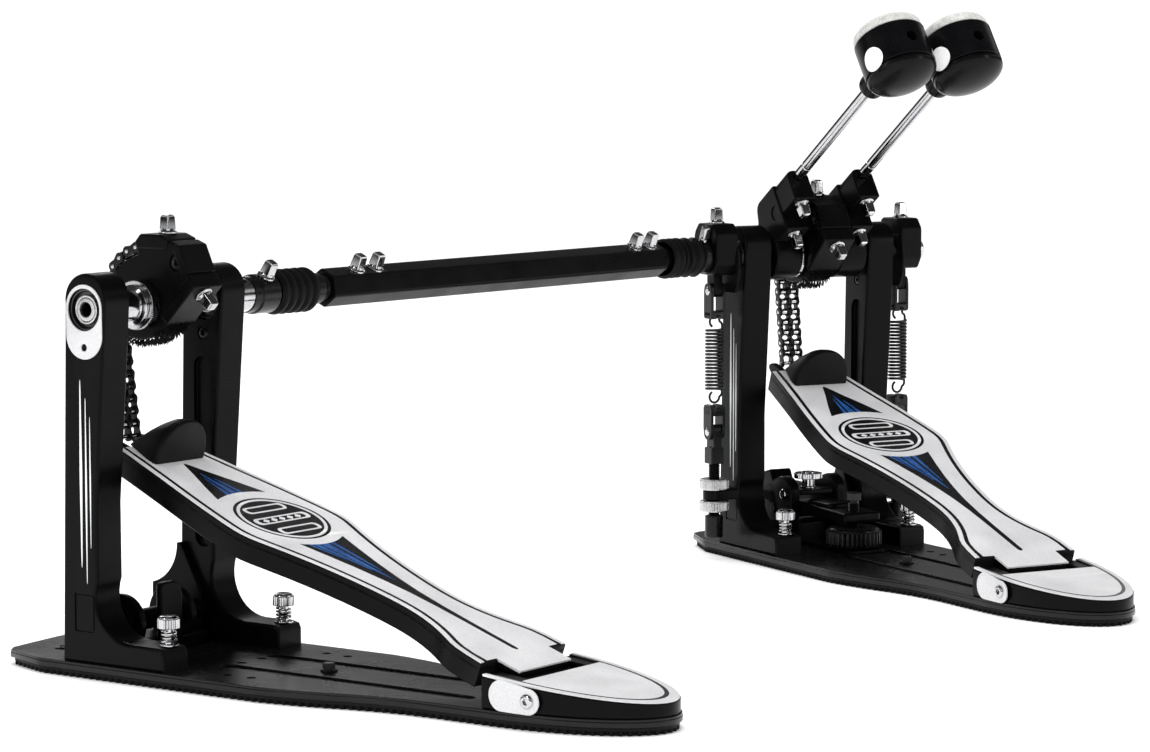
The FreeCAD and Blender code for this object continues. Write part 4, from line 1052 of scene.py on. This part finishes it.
def make_axles():
    main = at(0, 0, AXLE)
    axle = Piece("main_axle_rod", "right_drive", main, "plain_steel")
    axle.add(peg(4.0, -50, -10, 0.4), ALONG_X)
    axle.add(peg(6.0, -13, 80, 0.6), ALONG_X)
    axle.done("main_axle")
    collar = Piece("main_axle_collar", "right_drive", main, "chrome")
    disc = [(5.8, -13.8), (14.9, -13.8), (14.9, -12.0), (13.2, -11.2), (5.8, -11.2)]
    collar.add(turned(disc, 0.3), ALONG_X)
    collar.done()
    sleeve = Piece("left_sleeve_tube", "left_drive", main, "black_steel")
    sleeve.add(tube(7.0, 4.1, -85.3, -13.9, 0.5), ALONG_X)
    sleeve.add(turned([(4.1, -79.1), (8.8, -79.1), (10, -78.0), (10, -74.1), (4.1, -74.1)], 0.5), ALONG_X)
    add_yoke(sleeve, -74.3, MAIN_JOINT_X, "Z")
    sleeve.done("left_sleeve")
    hub = SLAVE @ main
    shaft = Piece("slave_axle_rod", "slave_drive", hub, "plain_steel")
    shaft.add(carve(peg(6.0, -52.6, 55, 0.7), peg(4.0, -60, -44, 0.2)), ALONG_X)
    shaft.done("slave_axle")
    # Painted shade: a black lining and end set inside the hollow end of the slave axle, darkening the bore
    # where it is only dark from shade.
    dark = Piece("slave_axle_bore_shade", "slave_drive", hub, "deep_black")
    dark.add(tube(4.02, 3.4, -52.0, -44.2, 0.1), ALONG_X)
    dark.add(peg(3.9, -45.0, -44.0, 0.1), ALONG_X)
    dark.done()
    bright = Piece("slave_axle_collars", "slave_drive", hub, "chrome")
    spacer = [(5.9, -33.0), (8.0, -33.0), (8.0, -20.6), (10.4, -19.4), (10.4, -17.2), (5.9, -17.2)]
    bright.add(turned(spacer, 0.4), ALONG_X)
    bright.add(plate([gear(12.5, 0.35, 72), circle(0, 0, 6.0)], -17.0, -14.4, 0.25), ALONG_X)
    bright.add(turned([(5.9, -14.4), (11.9, -14.4), (12.1, -11.4), (5.9, -11.4)], 0.3), ALONG_X)
    key_hole = placed(peg(1.6, 5, 12, 0.1), at(0, 0, 62) @ turn(-60, "Z") @ turn(90, "X"))
    bright.add(carve(tube(9.0, 5.9, 54.3, 66.5, 0.5), key_hole), ALONG_X)
    bright.done()
    clamp = Piece("slave_axle_clamp", "slave_drive", hub, "black_steel")
    barrel = [(5.9, 66.7), (9.4, 66.7), (9.6, 71.6), (10.5, 72.4), (10.5, 86.0), (5.9, 86.0)]
    clamp.add(turned(barrel, 0.7), ALONG_X)
    add_yoke(clamp, 84.0, SLAVE_JOINT_X, "Z")
    clamp.done()


# ---------------------------------------------------------------- beaters

def curved_disc(face):
    """A thin round disc laid on one side of the beater's barrel."""
    shape = bmesh.new()
    bmesh.ops.create_grid(shape, x_segments=24, y_segments=24, size=DISC_RADIUS)
    for v in shape.verts:
        x, y = v.co.x / DISC_RADIUS, v.co.y / DISC_RADIUS
        v.co = (DISC_RADIUS * x * math.sqrt(1 - y * y / 2), DISC_RADIUS * y * math.sqrt(1 - x * x / 2), 0)
    thick = bmesh.ops.extrude_face_region(shape, geom=shape.faces[:])
    for v in [g for g in thick["geom"] if isinstance(g, bmesh.types.BMVert)]:
        v.co.z = 0.35
    for v in shape.verts:
        angle = v.co.x / HEAD_RADIUS + math.radians(15)
        r = HEAD_RADIUS - 0.1 + v.co.z * 0.8
        v.co = (face * r * math.cos(angle), 21.6 + v.co.y, HEAD_Z + r * math.sin(angle))
    return shape


def make_beater(side, body):
    name = SIDE_NAME[side]
    place = swing(side)
    holder = Piece(f"{name}_beater_clamp", body, place, "powder_coat")
    web = [(0, 29.4, 1.2), (0, -8), (14, -6), (20, 2, 3), (29.0, 5.5, 3), (31.0, 9.0, 2), (31.0, 29.4, 1.2)]
    web = side_plate(soften(web, 1.2, 3), -8.0, 8.0, 0.9, 3)
    dish = [placed(peg(4.5, -0.7, 0.7, 0.2), at(x, 15.4, 22.6) @ ALONG_X) for x in (-8.0, 8.0)]
    axle_hole = placed(peg(7.5, -12, 12, 0.01), ALONG_X)
    holder.add(carve(web, axle_hole, *dish))
    corners = [(-7.2, 11, 1.0), (7.2, 11, 1.0), (7.2, 31, 5.0), (-7.2, 31, 5.0)]
    column = plate(soften(corners, 1), 20, 46.5, 0.8, 3)
    holder.add(carve(column, placed(peg(4.6, 45.6, 48, 0.3), at(0, ROD_Y))))
    holder.add(tube(15.4, 7.0 if side < 0 else 6.0, -9.0, 9.0, 1.2), ALONG_X)
    holder.done(f"{name}_beater_holder")
    rod = Piece(f"{name}_beater_shaft", body, place, "chrome")
    groove = [(3.3, 58), (3.15, 58.4), (3.15, 59.2), (3.3, 59.6)]
    rod.add(turned([(0, 10), (3.3, 10), *groove, (3.3, 166.4), (0, 166.4)], 0.3), at(0, ROD_Y))
    rod.done(f"{name}_beater_rod")
    middle = at(0, 0, HEAD_Z) @ ALONG_Y
    head = Piece(f"{name}_beater_body", body, place, "black_plastic")
    r = HEAD_RADIUS
    quarter = [math.pi / 28 * k for k in range(15)]
    dome = [((r - 0.2) * math.sin(t), 15.2 - 8.6 * math.cos(t)) for t in quarter]
    groove = [(r - 0.5, 15.5), (r - 1.2, 15.7), (r - 1.2, 16.4), (r - 0.3, 16.6), (r, 16.9)]
    barrel = lathe([*dome, *groove, (r, 38.4), (r - 0.5, 39.0), (0, 39.0)], 96)
    screw_place = at(0, ROD_Y + 1, HEAD_Z)
    head.add(carve(placed(barrel, middle), placed(peg(3.3, 15, 24, 0.1), screw_place)))
    neck = [(0, 140.2), (5.4, 140.2), (7.2, 141.8), (7.8, 144.5), (7.6, 152.0), (9.4, 156.5), (0, 158.5)]
    head.add(turned(neck, 0.8), at(0, ROD_Y))
    head.done(f"{name}_beater_head")
    screw = Piece(f"{name}_beater_screw", body, place, "black_steel")
    screw.add(socket_screw(2.9, 1.6), screw_place @ at(z=15.2))
    screw.done()
    felt = Piece(f"{name}_beater_pad", body, place, "felt")
    rim = [(20.4, 38.8), (20.7, 40.0), (20.4, 43.4), (19.0, 45.5), (15.5, 46.3), (8.0, 46.5)]
    felt.add(turned([(0, 38.8), *rim, (0, 46.5)], 0.8, 72), middle)
    felt.done(f"{name}_beater_felt")
    discs = Piece(f"{name}_beater_discs", body, place, "white_paint")
    for face in (-1, 1):
        discs.add(curved_disc(face))
    discs.done()


def make_drive_bolts():
    right = Piece("main_key_bolts", "right_drive", HERE, "chrome")
    left = Piece("left_key_bolts", "left_drive", HERE, "chrome")
    for side, bolts in ((1, right), (-1, left)):
        place = swing(side)
        add_bolt(bolts, (0, 11.0, 40.6), (0, -1, 0), place=place)
        add_bolt(bolts, (0, 0, 23.4), (0, -1, 0), place=place)
        add_bolt(bolts, (side * ROCKER_X, 0, AXLE + 20), (0, 0, 1))
    add_bolt(left, (-76.6, -2.92, AXLE + 9.56), (0, -0.292, 0.956), 3.0)
    cam_bolts(right, MAIN)
    right.done("main_drive_bolts")
    left.done("left_drive_bolts")
    slave = Piece("slave_key_bolts", "slave_drive", HERE, "chrome")
    cam_bolts(slave, SLAVE)
    add_bolt(slave, (79.0, -5.25, AXLE + 9.093), (0, -0.5, 0.866), place=SLAVE)
    slave.done("slave_drive_bolts")


# ---------------------------------------------------------------- rockers and springs

def make_rocker(side, body, bore):
    name = SIDE_NAME[side]
    rocker = Piece(f"{name}_rocker_arm", body, at(side * ROCKER_X, 0, AXLE), "powder_coat")
    outline = [(-9, -11, 2), (-13, -4, 2), (-13, 14, 2), (-8.5, 20, 1.5)]
    outline += [(9, 20, 1.5), (14, 14, 3), (14, 2, 4), (9, -11, 3)]
    rocker.add(side_plate([soften(outline, 2, 5), circle(0, 0, bore)], -7.6, 7.6, 1.0, 3))
    lobe = [(-11, -22, 3), (-14.4, -14, 3), (-15.4, -6, 8), (-14.4, 3, 8), (-11.5, 10, 2)]
    lobe += [(6, 10, 2), (8, -22, 3)]
    low, high = (-7.9, -6.4) if side > 0 else (6.4, 7.9)
    rocker.add(side_plate([soften(lobe, 2, 5), circle(0, 0, bore)], low, high, 0.3, 2))
    tail = [(-4.4, -21, 2), (-4.4, -8), (4.4, -8), (4.4, -21, 2), (3, -24.8, 2.6), (-3, -24.8, 2.6)]
    rocker.add(side_plate(soften(tail, 1.0), -3, 3, 0.6), at(0, SPRING_Y))
    rocker.done(f"{name}_rocker")


def add_hanger(piece, corners, half, saddle, notch):
    """Two ears joined by a saddle with a notch for the hook of the spring."""
    ear = [(-y, z, r) for y, z, r in corners] + [(y, z, r) for y, z, r in reversed(corners)]
    for low in (-5.0, 3.2):
        piece.add(side_plate(soften(ear, 1.5), low, low + 1.8))
    slot = block((-1.6, 1.6), (-7, 7), notch, 0.2, 0.02)
    piece.add(carve(block((-5, 5), (-half, half), saddle, 1.6, 0.8), slot))


def make_spring_set(side):
    name = SIDE_NAME[side]
    hung = at(side * ROCKER_X, SPRING_Y, 0)
    link_ear = [(4.7, 147.2, 2), (4.7, 165, 4.5), (3.0, 168.7, 2.4)]
    fork_ear = [(4.9, 94, 1.5), (4.9, 78.0, 5), (2.6, 73.6, 2.2)]
    for end, part, pin, shape in (
            ("shackle", "link", LINK_PIN, (link_ear, 4.7, (147.1, 151.8), (145, 149.6))),
            ("fork", "clevis", FORK_PIN, (fork_ear, 4.9, (88.2, 94.9), (92.2, 97)))):
        hanger = Piece(f"{name}_spring_{end}", f"{name}_{part}", hung, "black_steel")
        add_hanger(hanger, *shape)
        hanger.done(f"{name}_spring_{part}")
        rivets = Piece(f"{name}_{end}_rivets", f"{name}_{part}", hung, "chrome")
        rivets.add(turned(RIVET, 0.2, 24), at(z=pin) @ ALONG_X)
        rivets.done()
    spring = Piece(f"{name}_coil_spring", f"{name}_clevis", hung, "black_steel")
    spring.add(sweep(helix(5.15, COIL_LOW, COIL_HIGH, 18, 18), 0.84, 8))
    angles = [math.radians(10 * k) for k in range(25)]
    for base, up in ((COIL_HIGH, 1), (COIL_LOW, -1)):
        hook = [(5.2, 0, base), (5.2, 0, base + up * 2.2), (4.6, 0, base + up * 3.4)]
        hook += [(3.4 * math.cos(t), 0.0, base + up * (4.2 + 3.4 * math.sin(t))) for t in angles]
        spring.add(sweep(hook, 0.75, 8))
    low, high = (Vector((side * ROCKER_X, SPRING_Y, z)) for z in (COIL_LOW - 0.8, COIL_HIGH + 0.8))
    spring.done(f"{name}_spring", sharp=80, stretch=(f"{name}_coil", low, high))


def make_tension_rods():
    rods = Piece("tension_rod_stems", "main_frame", HERE, "black_steel")
    nuts = Piece("tension_rod_nuts", "main_frame", HERE, "plain_steel")
    for side in (-1, 1):
        stand = at(side * ROCKER_X, SPRING_Y, 0)
        rods.add(threaded(3.6, 3.05, 14.0, 60.2, 38, 28), stand)
        rods.add(peg(5.5, 14, 27.5, 1.0, 48), stand)
        rods.add(block((-4.5, 4.5), (-4.5, 4.5), (59, 69), 0.9, 0.6), stand)
        lug = [(-4.4, 68), (-4.4, 78.5, 4), (-3, 82.8, 2.6), (3, 82.8, 2.6), (4.4, 78.5, 4), (4.4, 68)]
        rods.add(side_plate(soften(lug, 0.5), -2.9, 2.9, 0.6), stand)
        for z in (30.0, 43.3):
            nuts.add(plate([gear(9.0, 0.3, 52), circle(0, 0, 3.7)], z + 0.7, z + 5.8, 0.2), stand)
            nuts.add(tube(8.5, 3.7, z, z + 6.5, 0.4), stand)
    rods.done("tension_rods")
    nuts.done()


# ---------------------------------------------------------------- hoop clamp

def make_clamp():
    bridge = Piece("main_bridge_casting", "main_frame", HERE, "powder_coat")
    bridge.add(block((-34.4, 34.4), (-4, 14), (8, 20), 2, 1.2))
    bridge.add(block((-12, 12), (-68, -4), (8, 10), 3, 0.5))
    cheek = soften([(-12, 8, 1), (-12, 44, 5), (-2, 50, 6), (30, 38, 9), (34, 8, 1)], 4)
    for x in (-20, 13):
        bridge.add(side_plate(cheek, x, x + 7, 1.3, 3))
    bridge.add(peg(3.0, -20.6, 20.6, 0.6), at(0, 8, 28) @ ALONG_X)
    bridge.add(block((-13.2, 13.2), (-10, 2), (37.4, 40.6), 2.5, 0.8))
    hood = soften([(2, 30), (8, 44, 3), (12, 52, 2), (26, 48, 4), (32, 34, 3)], 1)
    bridge.add(side_plate(hood, -20, -5, 1.2, 3))
    add_gussets(bridge)
    bridge.done("main_bridge")
    screws = Piece("clamp_side_screws", "main_frame", HERE, "chrome")
    for side in (-1, 1):
        screws.add(socket_screw(3.4, 1.6), aim((side * 19.9, -4, 38), (side, 0, 0)))
    screws.done()
    knob = Piece("clamp_lock_knob", "main_frame", HERE, "chrome")
    knob.add(plate(gear(8.7, 0.45, 40), 46.4, 49.9, 0.35))
    knob.add(tube(4.6, 1.2, 49.5, 50.6, 0.3))
    knob.add(plate(gear(3.7, 0.35, 16), 40.8, 46.6, 0.15))
    knob.add(peg(5.0, 40.2, 41.6, 0.4, 48))
    knob.done()
    jaw = Piece("clamp_jaw_casting", "clamp_jaw", HERE, "powder_coat")
    upper = [(-62, 26, 2), (-62, 32, 2), (-4, 34), (30, 42, 8), (60, 34, 3), (62, 23, 1.5)]
    lower = [(54, 23, 1.5), (50, 30, 3), (30, 33, 6), (14, 22.5, 2), (0, 22.5, 2), (-8, 26, 3)]
    body = side_plate([soften(upper + lower, 2), circle(8, 28, 3.05, 24)], -12.4, 12.4, 1.2)
    jaw.add(carve(body, placed(peg(4.6, 18, 42, 0.1), at(0, WHEEL_Y))))
    jaw.add(block((-9, 9), (-40, -12), (31, 35.4), 4, 1.5))
    jaw.done("clamp_jaw")
    wheel = Piece("clamp_hand_wheel", "clamp_wheel", at(0, WHEEL_Y), "black_steel")
    wheel.add(plate(gear(17.0, 1.0, 36), 12.2, 20.6, 0.8))
    wheel.add(turned([(0, 10.4), (14.6, 10.4), (15.6, 11.6), (15.6, 21.2), (14.6, 22.4), (0, 22.4)], 0.5))
    wheel.add(threaded(3.5, 3.0, 8.2, 38.6, 24, 24))
    wheel.add(plate(circle(0, 0, 5.0, 6), 38.5, 43.5, 0.6))
    wheel.done("clamp_wheel")


# ---------------------------------------------------------------- drive shaft

def bellows(start, end, ribs, outer=12.0, inner=10.1):
    """A boot's section: deep round folds between two cuffs."""
    step = (end - start) / ribs
    out = [(inner, start), (outer - 1.6, start)]
    for k in range(ribs):
        for share, r in ((0.10, -1.9), (0.26, -0.5), (0.42, 0.0), (0.58, 0.0), (0.74, -0.5), (0.90, -1.9)):
            out.append((outer + r, start + (k + share) * step))
    return out + [(outer - 1.6, end), (inner, end)]


def cross_pin():
    """One pin of the cross in a universal joint."""
    return turned([(0, -6), (1.8, -6), (1.8, -3), (3.4, -2), (3.4, 2), (1.8, 3), (1.8, 6), (0, 6)], 0.5, 24)


def bent_boot():
    """The boot at the end of the shaft, bent from the axle's line into the shaft's."""
    wall = [(10.1, x) for x in (6.0, 3.0, 0.0, -3.0, -6.0)]
    angles = [2 * math.pi * k / 48 for k in range(48)]
    rings = []
    for r, x in soften(bellows(-BOOT_HALF, BOOT_HALF, 5), 0.5, 2) + wall:
        share = min(1.0, max(0.0, 0.5 - x / 12.0))
        spin = turn(shaft_heading * share, "Z")
        rings.append([spin @ Vector((x, r * math.cos(t), r * math.sin(t))) for t in angles])
    return loft(rings, closed=True)


def make_shaft():
    flats = SHAFT_FLATS / 2
    hexagon = circle(0, 0, SHAFT_FLATS / math.sqrt(3), 6)
    roll = turn(TUBE_ROLL, "X")
    tube_end = SHAFT_LENGTH - 20.0
    outer = Piece("drive_shaft_sleeve", "shaft_tube", SHAFT, "powder_coat")
    outer.add(plate([soften(hexagon, 1.3, 3), circle(0, 0, 6.2)], 27.0, tube_end, 0.9), roll @ SIDE)
    outer.add(peg(8.0, tube_end - 4, tube_end + 4, 0.6, 48), ALONG_X)
    add_yoke(outer, tube_end + 2, SHAFT_LENGTH, "Y")
    outer.done("drive_shaft_tube")
    pads = Piece("drive_shaft_bolt_pads", "shaft_tube", SHAFT, "black_steel")
    for middle in (57.5, SHAFT_LENGTH - 39.0):
        pads.add(block((middle - 14, middle + 14), (-4.6, 4.6), (flats - 0.6, flats + 0.02), 2, 0.2), roll)
    pads.done()
    crosses = Piece("joint_crosses", "shaft_tube", SHAFT, "plain_steel")
    crosses.add(cross_pin(), at(SHAFT_LENGTH) @ ALONG_Y)
    crosses.done()
    inner = Piece("drive_shaft_core", "shaft_rod", SHAFT, "black_steel")
    inner.add(peg(5.85, 8, 219.5, 0.8), ALONG_X)
    collar = [(0, 15.0), (8.4, 15.0), (8.4, 21.5), (7.2, 24.0), (7.2, 26.6), (0, 26.6)]
    inner.add(turned(collar, 0.6), ALONG_X)
    add_yoke(inner, 22.0, 0.0, "Y")
    inner.add(cross_pin(), ALONG_Y)
    inner.done("drive_shaft_rod")
    boot = Piece("slave_joint_boot", "shaft_rod", SHAFT, "rubber")
    boot.add(turned(bellows(-BOOT_HALF, BOOT_HALF, 5), 0.55, 56, 3), ALONG_X)
    boot.done("slave_boot")
    bolts = Piece("shaft_key_bolts", "shaft_tube", SHAFT, "chrome")
    for x in (50.0, 65.0, SHAFT_LENGTH - 46.0, SHAFT_LENGTH - 32.0):
        add_bolt(bolts, (x, 0, flats), (0, 0, 1), place=roll)
    bolts.done("shaft_bolts")
    elbow = Piece("main_joint_boot", "main_frame", Matrix.Translation(SHAFT_END), "rubber")
    elbow.add(bent_boot())
    elbow.done("main_boot")


# ---------------------------------------------------------------- the whole pedal

for prefix, body, treadle, drive, place, radii in (
        ("main", "main_frame", "main_treadle", "right_drive", MAIN, (7.0, 6.0)),
        ("slave", "slave_frame", "slave_treadle", "slave_drive", SLAVE, (6.0, 6.0))):
    make_base(prefix, body, place)
    make_heel(prefix, body, place)
    for side in (-1, 1):
        make_post(prefix, body, place, side, prefix == "main")
    make_stripes(prefix, body, place)
    make_bearings(prefix, body, place, radii)
    make_spurs(prefix, body, place)
    make_footboard(prefix, treadle, place)
    make_chain(prefix, place)
    make_cam(prefix, drive, place)
make_badge("slave", "slave_frame", SLAVE)
make_slave_bridge()
make_axles()
make_beater(1, "right_drive")
make_beater(-1, "left_drive")
make_drive_bolts()
make_rocker(1, "right_drive", 6.0)
make_rocker(-1, "left_drive", 7.0)
make_spring_set(1)
make_spring_set(-1)
make_tension_rods()
make_clamp()
make_shaft()


# ---------------------------------------------------------------- studio

def plain_material(name, colour, rough):
    """A matt surface with a faint unevenness."""
    made = bpy.data.materials.new(name)
    made.use_nodes = True
    nodes = made.node_tree.nodes
    shader = nodes["Principled BSDF"]
    set_value(shader, "Roughness", rough)
    set_value(shader, "Specular IOR Level", 0.0)
    noise = nodes.new("ShaderNodeTexNoise")
    set_value(noise, "Scale", 3.0)
    ramp = nodes.new("ShaderNodeValToRGB")
    ramp.color_ramp.elements[0].color = (*[c * 0.985 for c in colour], 1)
    ramp.color_ramp.elements[1].color = (*colour, 1)
    made.node_tree.links.new(noise.outputs["Fac"], ramp.inputs["Fac"])
    made.node_tree.links.new(ramp.outputs["Color"], shader.inputs["Base Color"])
    return made


def make_floor():
    """A pale round floor of six metres radius, just under the mats."""
    floor = plate(circle(-0.2, 0, 6.0, 96), -0.02, 0.0, 0.005, 1)
    floor_mesh = bpy.data.meshes.new("floor")
    floor.to_mesh(floor_mesh)
    floor.free()
    floor_mesh.materials.append(plain_material("pale_floor", (0.93, 0.93, 0.93), 0.6))
    floor_object = bpy.data.objects.new("floor", floor_mesh)
    bpy.context.scene.collection.objects.link(floor_object)


LIGHTS = (
    ("overhead", (-0.35, -0.1, 1.7), (-0.25, -0.05, 0.0), (1.6, 1.0), 18.0, False),
    ("left_window", (-2.3, -0.6, 0.8), (-0.3, -0.1, 0.12), (0.25, 1.4), 7.0, True),
    ("front_right", (1.5, -2.0, 0.7), (-0.1, -0.1, 0.1), (0.25, 1.2), 6.0, True),
    ("rear_rim", (-0.2, 2.2, 1.3), (-0.2, 0.0, 0.15), (1.8, 0.3), 10.0, True),
)


def make_lights():
    """Soft panels, placed in metres; the overhead one leaves no reflection."""
    for name, spot, target, extent, power, mirrored_in_metal in LIGHTS:
        lamp = bpy.data.lights.new(name, "AREA")
        lamp.shape = "RECTANGLE"
        lamp.size, lamp.size_y = extent
        lamp.energy = power
        holder = bpy.data.objects.new(name, lamp)
        holder.location = spot
        holder.rotation_euler = (Vector(target) - Vector(spot)).to_track_quat("-Z", "Y").to_euler()
        holder.visible_glossy = mirrored_in_metal
        bpy.context.scene.collection.objects.link(holder)


def make_world():
    """Even pale light, with a banded sky in what shines."""
    world = bpy.data.worlds.new("studio")
    world.use_nodes = True
    nodes = world.node_tree.nodes
    links = world.node_tree.links
    background = nodes["Background"]
    coordinates = nodes.new("ShaderNodeTexCoord")
    split = nodes.new("ShaderNodeSeparateXYZ")
    links.new(coordinates.outputs["Generated"], split.inputs["Vector"])
    sky = nodes.new("ShaderNodeValToRGB")
    stops = ((0.0, 0.6), (0.05, 0.02), (0.16, 0.02), (0.30, 0.75), (0.48, 0.06), (0.85, 0.04), (1.0, 0.3))
    sky.color_ramp.elements[0].position = stops[0][0]
    sky.color_ramp.elements[0].color = (stops[0][1],) * 3 + (1,)
    sky.color_ramp.elements[1].position = stops[-1][0]
    sky.color_ramp.elements[1].color = (stops[-1][1],) * 3 + (1,)
    for position, level in stops[1:-1]:
        sky.color_ramp.elements.new(position).color = (level,) * 3 + (1,)
    links.new(split.outputs["Z"], sky.inputs["Fac"])
    paths = nodes.new("ShaderNodeLightPath")
    choice = nodes.new("ShaderNodeMix")
    choice.data_type = "RGBA"
    sockets = {s.identifier: s for s in choice.inputs}
    sockets["A_Color"].default_value = (1.15, 1.15, 1.15, 1)
    links.new(paths.outputs["Is Glossy Ray"], sockets["Factor_Float"])
    links.new(sky.outputs["Color"], sockets["B_Color"])
    links.new([s for s in choice.outputs if s.identifier == "Result_Color"][0], background.inputs["Color"])
    set_value(background, "Strength", 1.0)
    bpy.context.scene.world = world
    bpy.context.scene.view_settings.view_transform = "Standard"


EYE = (-1.2114, -1.9372, 0.3314)
EYE_TILT = 84.44
EYE_HEADING = -28.42
LENS = 116.9


def make_camera():
    """A long lens on the player's side, low over the floor; places are in metres."""
    camera = bpy.data.cameras.new("camera")
    camera.sensor_width = 36.0
    camera.lens = LENS
    viewer = bpy.data.objects.new("camera", camera)
    viewer.location = EYE
    viewer.rotation_euler = (math.radians(EYE_TILT), 0, math.radians(EYE_HEADING))
    bpy.context.scene.collection.objects.link(viewer)
    bpy.context.scene.camera = viewer


make_floor()
make_lights()
make_world()
make_camera()
